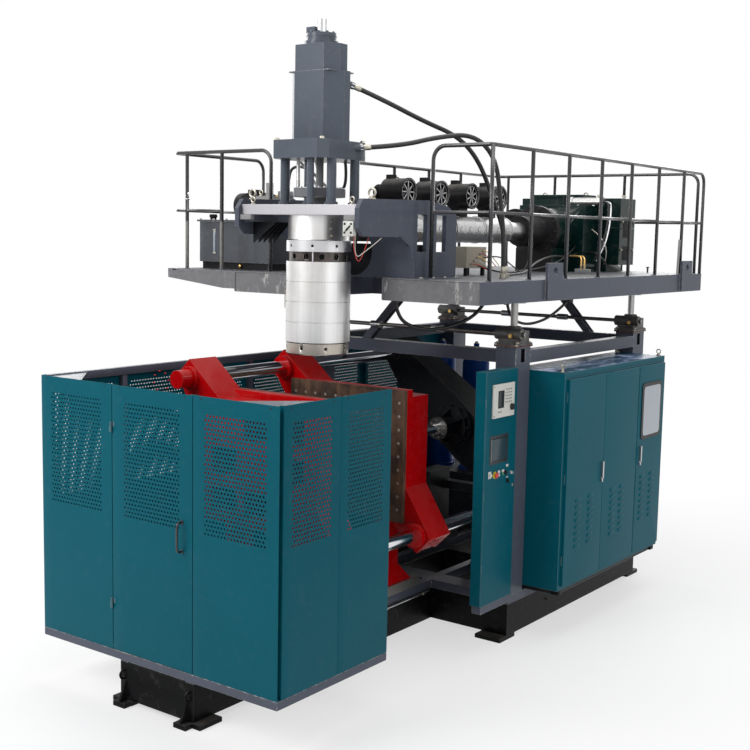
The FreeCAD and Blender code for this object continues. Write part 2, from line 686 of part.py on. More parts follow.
def build_front_platen():
    body = platen_block("front_platen_arms", FRONT_PLATEN)
    plate = block("front_mounting", ("2*plate_half_x", "plate_thick", "2*plate_half_z"),
                  ("0", f"{FRONT_PLATEN}+platen_deep-plate_thick/2", "clamp_high-plate_half_z"))
    solids = [body, plate]
    for pair in BARS:
        x, z = bar_axis(pair)
        solids.append(rod("boss", "92", "30", (x, f"{FRONT_PLATEN}-30", z), "y"))
    for side in (-1, 1):
        solids += leg_and_shoe("front", f"{FRONT_PLATEN}+platen_deep-280", side, -1, "60", "platen_deep-40")
    tools = rib_pockets(FRONT_PLATEN, False)
    for pair in BARS:
        x, z = bar_axis(pair)
        tools.append(rod("bar_hole", "bar_radius+fit", "platen_deep+60", (x, f"{FRONT_PLATEN}-31", z), "y"))
        tools.append(tip_pocket("tip", pair, FRONT_PLATEN))
    caps = []
    for pair in BARS:
        x, z = bar_axis(pair)
        caps.append(cut("front_cap", rod("front_cap_raw", "72", "122", (x, f"{FRONT_PLATEN}-152", z), "y"),
                        [rod("front_cap_bore", "bar_radius+fit", "110.2", (x, f"{BAR_START}-0.2", z), "y")]))
    casting = cut("front_platen_casting", fuse("front_platen_raw", solids), tools)
    finish(group("front_platen", [casting] + caps), "front_platen")
    plate = block("front_mould_plate", ("2*plate_half_x", "mould_plate", "2*plate_half_z"),
                  ("0", f"{MOULD_FRONT}-mould_plate/2", "clamp_high-plate_half_z"))
    finish(plate, "front_mould_plate")


def build_moving_platen():
    body = platen_block("moving_platen_arms", MOVING_PLATEN)
    plate = block("moving_mounting", ("2*plate_half_x", "plate_thick", "2*plate_half_z"),
                  ("0", f"{MOVING_PLATEN}+plate_thick/2", "clamp_high-plate_half_z"))
    solids = [body, plate]
    for pair in BARS:
        x, z = bar_axis(pair)
        solids.append(rod("boss", "98", "45", (x, f"{MOVING_PLATEN}-45", z), "y"))
    solids.append(rod("rod_boss", "110", "30", ("0", f"{MOVING_PLATEN}+platen_deep", "clamp_high"), "y"))
    for side in (-1, 1):
        solids += leg_and_shoe("moving", f"{MOVING_PLATEN}+280", side, 1, "60", "platen_deep-40")
    tools = rib_pockets(MOVING_PLATEN, True)
    for pair in BARS:
        x, z = bar_axis(pair)
        tools.append(rod("bar_hole", "bar_radius+fit", "platen_deep+60", (x, f"{MOVING_PLATEN}-46", z), "y"))
        tools.append(tip_pocket("tip", pair, MOVING_PLATEN))
    tools.append(rod("rod_seat", "rod_radius+fit", "62",
                     ("0", f"{MOVING_PLATEN}+platen_deep-30", "clamp_high"), "y"))
    finish(cut("moving_platen", fuse("moving_platen_raw", solids), tools), "moving_platen")
    plate = block("moving_mould_plate", ("2*plate_half_x", "mould_plate", "2*plate_half_z"),
                  ("0", f"{MOULD_REAR}+mould_plate/2", "clamp_high-plate_half_z"))
    finish(plate, "moving_mould_plate")
    start = f"{MOVING_PLATEN}+platen_deep-30"
    shank = rod("rod_shank", "rod_radius", "rod_long", ("0", start, "clamp_high"), "y")
    piston = rod("rod_piston", "bore_radius-0.1", "70", ("0", f"{start}+rod_long-75", "clamp_high"), "y")
    finish(fuse("clamp_piston_rod", [shank, piston]), "clamp_piston_rod")


def build_tail_platen():
    """The tail platen is one thick diagonal band between its two arms, on broad legs."""
    corners = [("-(bar_x+15)", "bar_z+arm_out_z"), ("-15", "313"), ("555", "-185"),
               ("bar_x+arm_out_x", "-(bar_z+15)")]
    outline = corners + [(f"-({u})", f"-({v})") for u, v in corners]
    body = padded("tail_platen_band", "XZ_Plane", [outline], "tail_deep",
                  ("0", f"{TAIL_PLATEN}+tail_deep", "clamp_high"))
    solids = [body]
    for side in (-1, 1):
        solids += leg_and_shoe("tail", f"{TAIL_PLATEN}+280", side, 1, "150", "tail_deep-40")
    solids.append(block("tail_tie", ("2*(bed_half_x-rail_wide/2)+150", "90", "85"),
                        ("0", f"{TAIL_PLATEN}+tail_deep-70", "clamp_high-695")))
    tools = [rod("cylinder_seat", "barrel_radius+fit", "tail_deep+2", ("0", f"{TAIL_PLATEN}-1", "clamp_high"),
                 "y")]
    nuts = []
    bars = []
    for pair in BARS:
        x, z = bar_axis(pair)
        tools.append(rod("bar_hole", "bar_radius+fit", "tail_deep+2", (x, f"{TAIL_PLATEN}-1", z), "y"))
        tools.append(tip_pocket("tip", pair, TAIL_PLATEN, "tail_deep"))
        bars.append(rod("tie_bar", "bar_radius", f"{TAIL_PLATEN}+tail_deep+110-{BAR_START}",
                        (x, BAR_START, z), "y"))
        rear = f"{TAIL_PLATEN}+tail_deep"
        nuts.append(cut("rear_nut", rod("rear_nut_raw", "92", "90", (x, rear, z), "y"),
                        [rod("rear_nut_bore", "bar_radius+fit", "92", (x, f"{rear}-1", z), "y")]))
    casting = cut("tail_platen_casting", fuse("tail_platen_raw", solids), tools)
    finish(group("tail_platen", [casting] + nuts), "tail_platen")
    finish(group("tie_bars", bars), "tie_bars")


def build_clamp_cylinder():
    """Turned section of the clamp cylinder: slim gland, two flange discs with gussets, bored barrel."""
    nose = 280
    rear = "2*clamp_stroke+340"
    outline = [
        ("rod_radius+fit", f"-{nose}"), ("107", f"-{nose}"), ("107", f"-{nose}+48"), ("90", f"-{nose}+48"),
        ("90", "-80"), ("182", "-80"), ("182", "-40"), ("214", "-40"), ("214", "0"), ("barrel_radius", "0"),
        ("barrel_radius", rear), ("rod_radius+fit+20", rear), ("rod_radius+fit+20", f"{rear}-30"),
        ("bore_radius", f"{rear}-30"), ("bore_radius", "40"), ("rod_radius+fit", "40"),
    ]
    turned = revolved("cylinder_turned", outline, ("0", TAIL_PLATEN, "clamp_high"), (Vector(1, 0, 0), "-90"))
    gussets = []
    for k in range(6):
        fin = padded("cylinder_gusset", "XZ_Plane",
                     [[("86", "0"), ("172", "0"), ("98", "-170"), ("86", "-170")]],
                     "12", ("0", "0", "0"))
        spin = FreeCAD.Rotation(Vector(0, 1, 0), 60 * k + 30)
        lay = FreeCAD.Rotation(Vector(1, 0, 0), -90)
        fin.Placement = FreeCAD.Placement(Vector(), spin.multiply(lay))
        centre = fin.Placement.multVec(Vector(0, 6, 0))
        place(fin, (f"{centre.x:.6f}", f"{TAIL_PLATEN}-80", f"clamp_high+({centre.z:.6f})"))
        gussets.append(fin)
    finish(fuse("clamp_cylinder", [turned] + gussets), "clamp_cylinder")


# ---------------------------------------------------------------- lifting platform
NOTCH_REAR = "(notch_inset-base_half_y)"


def build_platform():
    tall = "deck_top-deck_plate-deck_low"
    half = "deck_half-deck_beam/2"
    beams = []
    for side in (-1, 1):
        beams.append(block("deck_side", ("deck_beam", "deck_rear-deck_front", tall),
                           (f"{side}*({half})", "(deck_rear+deck_front)/2", "deck_low")))
        beams.append(block("deck_front_beam", ("deck_half-notch_half", "deck_beam", tall),
                           (f"{side}*(deck_half+notch_half)/2", "deck_front+deck_beam/2", "deck_low")))
        beams.append(block("deck_notch_beam", ("deck_beam", f"{NOTCH_REAR}-deck_front", tall),
                           (f"{side}*(notch_half+deck_beam/2)", f"({NOTCH_REAR}+deck_front)/2", "deck_low")))
        beams.append(block("deck_long", ("deck_beam", f"deck_rear-{NOTCH_REAR}", tall),
                           (f"{side}*(notch_half+deck_beam/2)", f"(deck_rear+{NOTCH_REAR})/2", "deck_low")))
    for k, spot in enumerate((f"{NOTCH_REAR}+deck_beam/2", f"{POST_Y}", "deck_rear-deck_beam/2")):
        beams.append(block("deck_cross", ("2*deck_half", "deck_beam", tall), ("0", spot, "deck_low")))
    plate = [block("deck_sheet_rear", ("2*deck_half", f"deck_rear-{NOTCH_REAR}", "deck_plate"),
                   ("0", f"(deck_rear+{NOTCH_REAR})/2", "deck_top-deck_plate"))]
    for side in (-1, 1):
        plate.append(block("deck_sheet_front",
                           ("deck_half-notch_half", f"{NOTCH_REAR}-deck_front", "deck_plate"),
                           (f"{side}*(deck_half+notch_half)/2", f"({NOTCH_REAR}+deck_front)/2",
                            "deck_top-deck_plate")))
    # left wing: tapered brackets under its own sheet
    wing = [box("wing_sheet", ("-deck_half-wing_left", "wing_rear-deck_front", "deck_plate"),
                ("wing_left", "deck_front", "deck_top-deck_plate"))]
    taper = [("0", "0"), ("deck_half+wing_left+150", "0"), ("deck_half+wing_left", "-18"),
             ("deck_half+wing_left", f"-({tall})+97"), ("deck_half+wing_left+692", f"-({tall})+24"),
             ("0", f"-({tall})+24")]
    for spot in ("deck_front+80", "(deck_front+wing_rear)/2+40", "wing_rear"):
        wing.append(padded("wing_bracket", "XZ_Plane", [taper], "80",
                           ("-deck_half", spot, "deck_top-deck_plate")))
    wing.append(box("wing_edge", ("60", "wing_rear-deck_front", "77"),
                    ("wing_left", "deck_front", "deck_top-83")))
    # lifting lugs on the side beams
    lugs = []
    for side in (-1, 1):
        for spot in ("-920", "1973"):
            lug = block("lug", ("28", "260", "305"), (f"{side}*(deck_half+14)", spot, "deck_low+14"))
            eye = rod("lug_eye", "34", "40", (f"{side}*(deck_half+14)-20", spot, "deck_low+250"), "x")
            lugs.append(cut("lifting_lug", lug, [eye]))
    finish(fuse("platform_frame", beams + plate + wing + lugs + brace_legs()), "platform_frame")


def brace_legs():
    """Pairs of diagonal legs on head plates under the platform; at rest they stand just above the frame."""
    seat = "ring_low+ring_tall+slide_gap"
    rise = "deck_low-ring_low-ring_tall-slide_gap"
    legs = []
    front = [("-520", "0"), ("-430", "0"), ("-50", rise), ("-140", rise)]
    rear = [("640", "0"), ("550", "0"), ("180", rise), ("270", rise)]
    for outline, middle, head in ((front, f"-{POST_Y}", "-95"), (rear, POST_Y, "225")):
        legs.append(block("brace_head", ("120", "88", "12"), (head, middle, "deck_low-12")))
        for offset in ("-30", "30"):
            legs.append(padded("brace", "XZ_Plane", [outline], "14", ("0", f"{middle}+({offset})+7", seat)))
    return legs


def uprights(spots, radius, low, high):
    return [Part.makeCylinder(radius, high - low, Vector(x, y, low)) for x, y in spots]


def railing_feature(name, runs):
    item = document.addObject("Part::Feature", name)
    item.Shape = runs[0].multiFuse(runs[1:]).removeSplitter()
    return item


def build_railings():
    """Bent tube handrails, reading their sizes from the sheet."""
    r = size("rail_radius")
    foot = size("deck_top")
    top = size("rail_top")
    mid = size("rail_mid")
    right = size("deck_half") - size("rail_inset")
    rear = size("deck_rear") - size("rail_inset")
    first = size("deck_front") + 170
    bend = 110
    loop_end = right - size("loop_reach")
    left_end = size("wing_rear") + 60
    # right side with its front return; it bends down at the rear corner
    runs = [tube([((loop_end, first, foot), 0), ((loop_end, first, top), bend), ((right, first, top), 30),
                  ((right, rear, top), bend), ((right, rear, foot), 0)], r)]
    runs.append(tube([((loop_end, first, mid), 0), ((right, first, mid), 30), ((right, rear, mid), 0)],
                     0.8 * r))
    pitch = size("rail_pitch")
    spots = [(right, first + pitch * k) for k in range(7)]
    side = railing_feature("railing_right", runs + uprights(spots, r, foot, top))
    # rear and left side in one bent rail
    corner = right - 60
    runs = [tube([((corner, rear, foot), 0), ((corner, rear, top), bend), ((-right, rear, top), bend),
                  ((-right, left_end, top), bend), ((-right, left_end, foot), 0)], r)]
    runs.append(tube([((corner, rear, mid), 0), ((-right, rear, mid), bend), ((-right, left_end, mid), 0)],
                     0.8 * r))
    spots = [(345, rear), (-515, rear), (-right + 120, rear)] + [(-right, rear - 860 - 643 * k)
                                                                 for k in range(4)]
    back = railing_feature("railing_rear", runs + uprights(spots, r, foot, top))
    # left wing: bent rails that leave the front corner
    wing_x = size("wing_left") + 70
    wing_y = size("deck_front") + 30
    wing_back = size("wing_rear") - 30
    inner = wing_x + 1165
    runs = [tube([((inner, wing_y, foot), 0), ((inner, wing_y, top), bend), ((wing_x, wing_y, top), 40),
                  ((wing_x, wing_back, top), bend), ((wing_x, wing_back, foot), 0)], r)]
    runs.append(tube([((wing_x + 585, wing_y, mid), 0), ((wing_x, wing_y, mid), 40),
                      ((wing_x, wing_back, mid), 0)],
                     0.8 * r))
    spots = [(wing_x + 585, wing_y), (wing_x + 150, wing_y), (wing_x, (wing_y + wing_back) / 2)]
    wing = railing_feature("railing_wing", runs + uprights(spots, r, foot, top))
    finish(group("railings", [side, back, wing]), "railings")


def build_lift_screws():
    screws = []
    for side, end in CORNERS:
        middle = (f"{side}*{POST_X}", f"{end}*{POST_Y}")
        shank = rod("screw_shank", "screw_radius", "deck_low-post_top+lift_travel+120",
                    (*middle, "post_top-lift_travel-120"))
        flange = rod("screw_flange", "95", "20", (*middle, "deck_low-20"))
        screws.append(fuse("lift_screw", [shank, flange]))
    finish(group("lift_screws", screws), "lift_screws")


# ---------------------------------------------------------------- head
def radial_holes(name, angles, radius, depth_from, level):
    """Round holes drilled towards the head axis from outside."""
    holes = []
    for degrees in angles:
        across = math.cos(math.radians(degrees))
        along = math.sin(math.radians(degrees))
        hole = document.addObject("Part::Cylinder", name)
        bind(hole, Radius=radius, Height="60")
        hole.Placement = FreeCAD.Placement(Vector(),
                                           FreeCAD.Rotation(Vector(0, 0, 1), Vector(across, along, 0)))
        place(hole, (f"{across:.6f}*(sleeve_radius-{depth_from})",
                     f"head_y+{along:.6f}*(sleeve_radius-{depth_from})", level))
        holes.append(hole)
    return holes


def build_head():
    """Die ring, banded sleeve, drilled neck, collar and upper shell, turned in one outline."""
    outline = [("62", "die_low+10"), ("92", "die_low"), ("sleeve_radius-14", "die_low"),
               ("sleeve_radius-6", "die_low+8"), ("sleeve_radius-6", "die_top-4"),
               ("sleeve_radius-12", "die_top-4"),
               ("sleeve_radius-12", "die_top+4"), ("sleeve_radius", "die_top+4")]
    for level in ("band_1", "band_2", "band_3"):
        outline += [("sleeve_radius", f"{level}-3"), ("sleeve_radius-6", f"{level}-3"),
                    ("sleeve_radius-6", f"{level}+3"), ("sleeve_radius", f"{level}+3")]
    outline += [("sleeve_radius", "sleeve_top"), ("sleeve_radius-22", "sleeve_top"),
                ("sleeve_radius-22", "collar_low"),
                ("sleeve_radius", "collar_low"), ("sleeve_radius", "collar_top-4"),
                ("sleeve_radius-8", "collar_top"), ("sleeve_radius-12", "collar_top+6"),
                ("sleeve_radius-12", "head_plate_low"), ("62", "head_plate_low")]
    turned = revolved("head_turned", outline, ("0", "head_y", "0"))
    tools = radial_holes("band_hole", [30 * k + 15 for k in range(12)], "24", 52, "(sleeve_top+collar_low)/2")
    tools += radial_holes("socket_hole", (-62, -18, 72, 162, 252), "11", 30, "(collar_low+collar_top)/2")
    tools += radial_holes("die_hole", [45 * k + 9 for k in range(8)], "13", 38,
                          "die_low+0.55*(die_top-die_low)")
    finish(cut("accumulator_head", turned, tools), "accumulator_head")
    # parison core inside the head: its flared tip fills the die gap
    core = revolved("core_turned", [("0", "die_low-14"), ("50", "die_low-14"), ("55", "die_low+18"),
                                    ("40", "die_low+70"), ("40", "head_plate_low+50"),
                                    ("0", "head_plate_low+50")],
                    ("0", "head_y", "0"))
    finish(core, "die_core")


def octagon(half_x, half_y, flat_x, flat_y):
    """A block's outline with cut corners, from its half sizes and the half lengths of its flats."""
    quarter = [(flat_x, half_y), (half_x, flat_y)]
    (ax, ay), (bx, by) = quarter
    return [(f"-({ax})", f"-({ay})"), (ax, f"-({ay})"), (bx, f"-({by})"), (bx, by),
            (ax, ay), (f"-({ax})", ay), (f"-({bx})", by), (f"-({bx})", f"-({by})")]


HEAD_PLATE_TOP = "(head_plate_low+head_plate_thick)"
CYLINDER_LOW = "(block_low+block_tall)"


def build_head_frame():
    front = "-head_plate_reach"
    outline = [("-head_plate_half", front), ("head_plate_half", front), ("head_plate_half", f"{front}+110"),
               ("330", "250"), ("-330", "250"), ("-head_plate_half", f"{front}+110")]
    plate = padded("head_plate_raw", "XY_Plane", [outline], "head_plate_thick",
                   ("0", "head_y", "head_plate_low"))
    bore = rod("head_plate_bore", "62", "head_plate_thick+2", ("0", "head_y", "head_plate_low-1"))
    finish(cut("head_plate", plate, [bore]), "head_plate")

    parts = []
    for side, end in CORNERS:
        parts.append(rod("head_column", "column_radius", f"block_low-{HEAD_PLATE_TOP}",
                         (f"{side}*column_x", f"head_y+{end}*column_y", HEAD_PLATE_TOP)))
    parts.append(rod("guide_column", "28", f"block_low-{HEAD_PLATE_TOP}",
                     ("96", "head_y-232", HEAD_PLATE_TOP)))
    shape = octagon("block_half_x", "block_half_y", "block_half_x-56", "block_half_y-84")
    parts.append(padded("head_block_raw", "XY_Plane", [shape], "block_tall", ("0", "head_y", "block_low")))
    parts.append(hose_port("block_port", HOSE_LOWER))
    bore = rod("head_block_bore", "push_rod+fit", "block_tall+2", ("0", "head_y", "block_low-1"))
    tools = [bore] + [rod("rack_way", "15+fit", "block_tall+2", (x, f"head_y+({y})", "block_low-1"))
                      for x, y in PUSH_GUIDES]
    finish(cut("head_yoke", fuse("head_yoke_raw", parts), tools), "head_yoke")

    lower = padded("head_cylinder_lower", "XY_Plane", [octagon("262", "152", "145", "35")], "530",
                   ("0", "head_y", CYLINDER_LOW))
    upper = padded("head_cylinder_upper", "XY_Plane", [octagon("222", "147", "143", "44")], "206",
                   ("0", "head_y", f"{CYLINDER_LOW}+530"))
    top = f"{CYLINDER_LOW}+736"
    cap = revolved("head_cylinder_cap",
                   [("0", "0"), ("134", "0"), ("134", "30"), ("117", "30"), ("117", "64"),
                                         ("121", "64"), ("121", "76"), ("117", "76"), ("117", "92"),
                                         ("0", "92")],
                   ("0", "head_y", top))
    valve = block("head_cylinder_block", ("82", "90", "50"), ("-62", "head_y-20", f"{top}+92"))
    tail = rod("head_tail_rod", "45", "108", ("0", "head_y", f"{top}+92"))
    port = hose_port("cylinder_port", HOSE_UPPER)
    bore = rod("head_cylinder_bore", "push_rod+fit", "700", ("0", "head_y", f"{CYLINDER_LOW}-1"))
    ways = [rod("rack_room", "15+fit", "260", (x, f"head_y+({y})", f"{CYLINDER_LOW}-1"))
            for x, y in PUSH_GUIDES]
    solid = fuse("head_cylinder_raw", [lower, upper, cap, valve, tail, port])
    finish(cut("head_cylinder", solid, [bore] + ways), "head_cylinder")


PUSH_GUIDES = [(-128, -112), (128, 22)]


def build_push_disc():
    """The push disc between head plate and block, on the shot cylinder's rod, with threaded guides."""
    low = f"{HEAD_PLATE_TOP}+push_high"
    high = f"{low}+push_thick"
    disc = rod("push_plate", "push_radius", "push_thick", ("0", "head_y", low))
    shank = rod("push_shank", "push_rod", f"block_low+240-({low})", ("0", "head_y", low))
    sleeve = rod("push_sleeve", "60", "push_high+40", ("0", "head_y", f"{HEAD_PLATE_TOP}-40"))
    core_way = rod("push_core_way", "40+slide_gap", "push_high+60", ("0", "head_y", f"{HEAD_PLATE_TOP}-41"))
    guides = [rod("push_guide", "15", f"block_low+60-({high})", (x, f"head_y+({y})", high))
              for x, y in PUSH_GUIDES]
    core_room = rod("push_core_room", "40+slide_gap", "70", ("0", "head_y", f"{low}-20"))
    finish(cut("push_disc", fuse("push_raw", [disc, shank, sleeve] + guides), [core_way, core_room]),
           "push_disc")


# ---------------------------------------------------------------- extruder
def build_extruder_support():
    """Two cheek plates with windows, tied by a cross plate with a round opening and a rear plate."""
    pieces = []
    start = "head_y-305"
    low = "deck_top"
    for side in (-1, 1):
        outline = [("0", "393"), ("64", "330"), ("545", "330"), ("690", "252"), ("738", "78"), ("738", "0"),
                   ("1352", "0"), ("1352", "515"), ("1211", "587"), ("913", "626"), ("55", "611"),
                   ("0", "541")]
        window_1 = [("775", "214"), ("912", "214"), ("912", "511"), ("775", "511")]
        window_2 = [("1049", "214"), ("1190", "214"), ("1190", "511"), ("1049", "511")]
        plate = padded("cheek", "YZ_Plane", [outline, window_1, window_2], "cheek_thick",
                       (f"{side}*(cheek_half-cheek_thick/2)-cheek_thick/2", start, low))
        pieces.append(plate)
    wide = "2*(cheek_half-cheek_thick)"
    shield = [("-(cheek_half-40)", "0"), ("cheek_half-40", "0"), ("cheek_half-40", "230"),
              ("cheek_half-190", "335"),
              ("-(cheek_half-190)", "335"), ("-(cheek_half-40)", "230")]
    front_plate = padded("support_front", "XZ_Plane", [shield], "30", ("0", f"{start}+775", low))
    front_hole = rod("support_hole", "200", "60", ("0", f"{start}+730", "deck_top+205"), "y")
    pieces.append(cut("support_front_cut", front_plate, [front_hole]))
    rear_plate = block("support_rear", (wide, "30", "200"), ("0", f"{start}+1335", low))
    pieces.append(rear_plate)
    saddle = block("support_saddle", ("180", "120", "270"), ("0", f"{start}+1260", low))
    pieces.append(cut("support_saddle_cut", saddle, [rod("saddle_way", "shell_radius+slide_gap", "140",
                                                         ("0", f"{start}+1190", "screw_high"), "y")]))
    pieces.append(block("saddle_web", (wide, "20", "150"), ("0", f"{start}+1260", low)))
    for side in (-1, 1):
        pieces.append(block("head_ledge", ("110", "330", "56"),
                            (f"{side}*(cheek_half-95)", "head_y-head_plate_reach+185", "head_plate_low-56")))
    finish(fuse("extruder_support", pieces), "extruder_support")


def build_barrel():
    """Barrel from the head to the feed housing, with split heater shells and clamping ribs."""
    start = "(head_y+sleeve_radius-12)"
    solids = [rod("barrel_neck", "76", "20", ("0", start, "screw_high"), "y"),
              rod("barrel_core", "84", f"feed_front-{start}-8", ("0", f"{start}+8", "screw_high"), "y")]
    for k in range(-1, 4):
        front = f"blower_first-230+{k}*blower_pitch"
        solids.append(rod("heater_shell", "shell_radius", "blower_pitch-16", ("0", front, "screw_high"), "y"))
        solids.append(rod("shell_rib", "shell_radius+7", "14",
                          ("0", f"{front}+blower_pitch-40", "screw_high"), "y"))
    finish(fuse("extruder_barrel", solids), "extruder_barrel")


def build_blowers():
    """Four cooling blowers on ducts; each housing is open at its inlet, with a fan wheel inside."""
    housings = []
    for k in range(4):
        y = f"(blower_first+{k}*blower_pitch)"
        drum = rod("blower_drum", "blower_radius", "230", ("blower_x-230", y, "blower_high"), "x")
        motor = rod("blower_motor", "62", "110", ("blower_x-340", y, "blower_high"), "x")
        rim = rod("blower_rim", "blower_radius+4", "16", ("blower_x-10", y, "blower_high"), "x")
        duct = block("blower_duct", ("110", "150", "120"), ("blower_x-150", y, "screw_high+110"))
        terminal = block("blower_box", ("70", "60", "40"), ("blower_x-190", y, "blower_high+blower_radius-8"))
        inlet = rod("blower_inlet", "blower_radius-14", "100", ("blower_x-92", y, "blower_high"), "x")
        shaft_way = rod("blower_shaft_way", "8.1", "60", ("blower_x-140", y, "blower_high"), "x")
        shell_way = rod("blower_shell_way", "shell_radius+2*slide_gap", "400",
                        ("0", f"{y}-200", "screw_high"), "y")
        solid = fuse("blower_raw", [drum, motor, rim, duct, terminal])
        housings.append(cut("blower", solid, [inlet, shaft_way, shell_way]))
        hub = rod("wheel_hub", "34", "78", ("blower_x-84", y, "blower_high"), "x")
        shaft = rod("wheel_shaft", "8", "50", ("blower_x-130", y, "blower_high"), "x")
        back = rod("wheel_disc", "blower_radius-19", "5", ("blower_x-84", y, "blower_high"), "x")
        blades = []
        for step in range(6):
            blade = document.addObject("Part::Box", "wheel_blade")
            bind(blade, Length="66", Width="9", Height="blower_radius-25")
            blade.Placement = FreeCAD.Placement(Vector(0, 0, 0), FreeCAD.Rotation(Vector(1, 0, 0), 60 * step))
            place(blade, ("blower_x-82", y, "blower_high"))
            blades.append(blade)
        finish(fuse(f"blower_wheel_{k + 1}", [hub, shaft, back] + blades), f"blower_wheel_{k + 1}")
    finish(group("blower_housings", housings), "blower_housings")


def build_gearbox():
    """Feed housing, flange, gear case and drive motor, with the oil cooler on top."""
    feed = rod("feed_neck", "150", "330", ("0", "feed_front", "screw_high"), "y")
    flange = rod("feed_flange", "265", "60", ("0", "feed_front+330", "screw_high"), "y")
    bell = cone("gear_bell", "232", "250", "300", ("0", "feed_front+390", "screw_high"), "y")
    foot = block("gear_foot", ("420", "420", "240"), ("0", "feed_front+530", "deck_top"))
    low_case = block("gear_low_case", ("760", "430", "690"), ("0", "feed_front+888", "deck_top"))
    case = block("gear_case", ("1180", "370", "700"), ("0", "feed_front+1288", "deck_top+75"))
    case_foot = block("gear_case_foot", ("900", "370", "75"), ("0", "feed_front+1288", "deck_top"))
    drive = rod("drive_motor", "180", "560", ("-380", "feed_front+578", "screw_high+60"), "y")
    cover = rod("rear_cover", "150", "70", ("400", "feed_front+1473", "screw_high"), "y")
    lid = block("gear_lid", ("620", "300", "40"), ("-150", "feed_front+1248", "deck_top+775"))
    middle = "feed_front+1000"
    body = rod("cooler_body", "42", "330", ("85", middle, "deck_top+735"), "x")
    caps = [rod("cooler_cap", "50", "34", (spot, middle, "deck_top+735"), "x") for spot in ("60", "405")]
    seats = [block("cooler_seat", ("30", "60", "46"), (spot, middle, "deck_top+690"))
             for spot in ("160", "340")]
    finish(fuse("gearbox", [feed, flange, bell, foot, low_case, case, case_foot, drive, cover, lid, body]
                + caps + seats), "gearbox")


def build_junction_box():
    body = block("junction_body", ("200", "330", "185"), ("355", "-830", "deck_top+70"))
    feet = [block("junction_foot", ("30", "30", "70"), (x, y, "deck_top"))
            for x in ("275", "435") for y in ("-970", "-690")]
    finish(fuse("junction", [body] + feet), "junction_box")


# ---------------------------------------------------------------- hydraulic unit on the left wing
def build_hydraulic_unit():
    tank = block("tank_body", ("860", "560", "370"), ("-1530", "-1560", "deck_top+66"))
    lid = block("tank_lid", ("900", "600", "18"), ("-1530", "-1560", "deck_top+436"))
    skirt = block("tank_skirt", ("820", "520", "66"), ("-1530", "-1560", "deck_top"))
    strainer = rod("tank_filter", "66", "150", ("-2090", "-1640", "deck_top+160"), "x")
    finish(fuse("hydraulic_tank", [tank, lid, skirt, strainer]), "hydraulic_tank")

    low = "deck_top+454"
    motor = rod("pump_motor", "112", "380", ("-1760", "-1480", f"{low}+136"), "x")
    bell = rod("pump_bell", "88", "100", ("-1380", "-1480", f"{low}+136"), "x")
    pump = rod("pump_body", "70", "150", ("-1280", "-1480", f"{low}+136"), "x")
    feet = [block("motor_foot", ("60", "210", "34"), (spot, "-1480", low)) for spot in ("-1700", "-1460")]
    posts = [block("motor_web", ("50", "150", "60"), (spot, "-1480", f"{low}+20"))
             for spot in ("-1700", "-1460")]
    valve = block("valve_block", ("170", "190", "215"), ("-1200", "-1720", low))
    head = rod("valve_coil", "34", "120", ("-1200", "-1720", f"{low}+215"))
    unit = fuse("pump_unit", [motor, bell, pump] + feet + posts)
    valves = fuse("valve_unit", [valve, head])
    finish(group("hydraulic_pump", [unit, valves]), "hydraulic_pump")


def build_hydraulic_station():
    """Oil tank between the rear posts, standing on the bed frame, with two pressure bottles."""
    tank = block("station_tank", ("800", "540", "565"), ("-690", "750", "bed_top"))
    lid = block("station_lid", ("820", "570", "20"), ("-690", "750", "bed_top+565"))
    bottles = []
    for x in ("-480", "-900"):
        outline = [("0", "0"), ("140", "0"), ("140", "1130"), ("118", "1215"), ("60", "1262"), ("30", "1270"),
                   ("30", "1330"), ("0", "1330")]
        bottles.append(revolved("pressure_bottle", outline, (x, "750", "bed_top+585")))
        bottles.append(rod("bottle_base", "160", "30", (x, "750", "bed_top+585")))
    finish(fuse("hydraulic_station", [tank, lid] + bottles), "hydraulic_station")


# ---------------------------------------------------------------- hoses
HOSE_RADIUS = 19
HOSE_UPPER = [(232, -2362, 4555), (364, -2167, 4470), (505, -1800, 4330), (640, -1470, 4228),
              (722, -1270, 4040), (778, -1125, 3740), (835, -970, 3400), (835, -970, 3106)]
HOSE_LOWER = [(304, -2323, 4086), (490, -2080, 4112), (632, -1770, 4200), (800, -1490, 4240),
              (902, -1300, 4060), (925, -1245, 3730), (945, -1200, 3400), (945, -1200, 3106)]


def hose_port(name, points):
    """The screwed port that a hose leaves from, in line with the hose's first run."""
    port = document.addObject("Part::Cylinder", name)
    bind(port, Radius="27", Height="90")
    start = Vector(*points[0])
    heading = (Vector(*points[1]) - start).normalize()
    port.Placement = FreeCAD.Placement(start - heading * 90, FreeCAD.Rotation(Vector(0, 0, 1), heading))
    return port


def hose_path(points):
    """Bend radii as large as the neighbouring runs allow."""
    vectors = [Vector(*spot) for spot in points]
    path = [(points[0], 0)]
    radii = []
    for k in range(1, len(points) - 1):
        before = vectors[k] - vectors[k - 1]
        after = vectors[k + 1] - vectors[k]
        half_turn = before.getAngle(after) / 2
        radius = 0.45 * min(before.Length, after.Length) / math.tan(half_turn)
        radii.append(round(radius))
        path.append((points[k], radius))
    path.append((points[-1], 0))
    return path, radii


def build_hoses():
    for label, points in (("hose_upper", HOSE_UPPER), ("hose_lower", HOSE_LOWER)):
        path, radii = hose_path(points)
        item = document.addObject("Part::Feature", label)
        item.Shape = tube(path, HOSE_RADIUS)
        section = math.pi * HOSE_RADIUS ** 2
        print(label, "bend radii", radii, "length", round(route(path).Length),
              "volume over section", round(item.Shape.Volume / section))
        finish(item, label)
    glands = []
    for points in (HOSE_UPPER, HOSE_LOWER):
        x, y, z = points[-1]
        glands.append(rod("hose_gland", "34", str(z) + "-deck_top", (str(x), str(y), "deck_top")))
    finish(group("hose_glands", glands), "hose_glands")


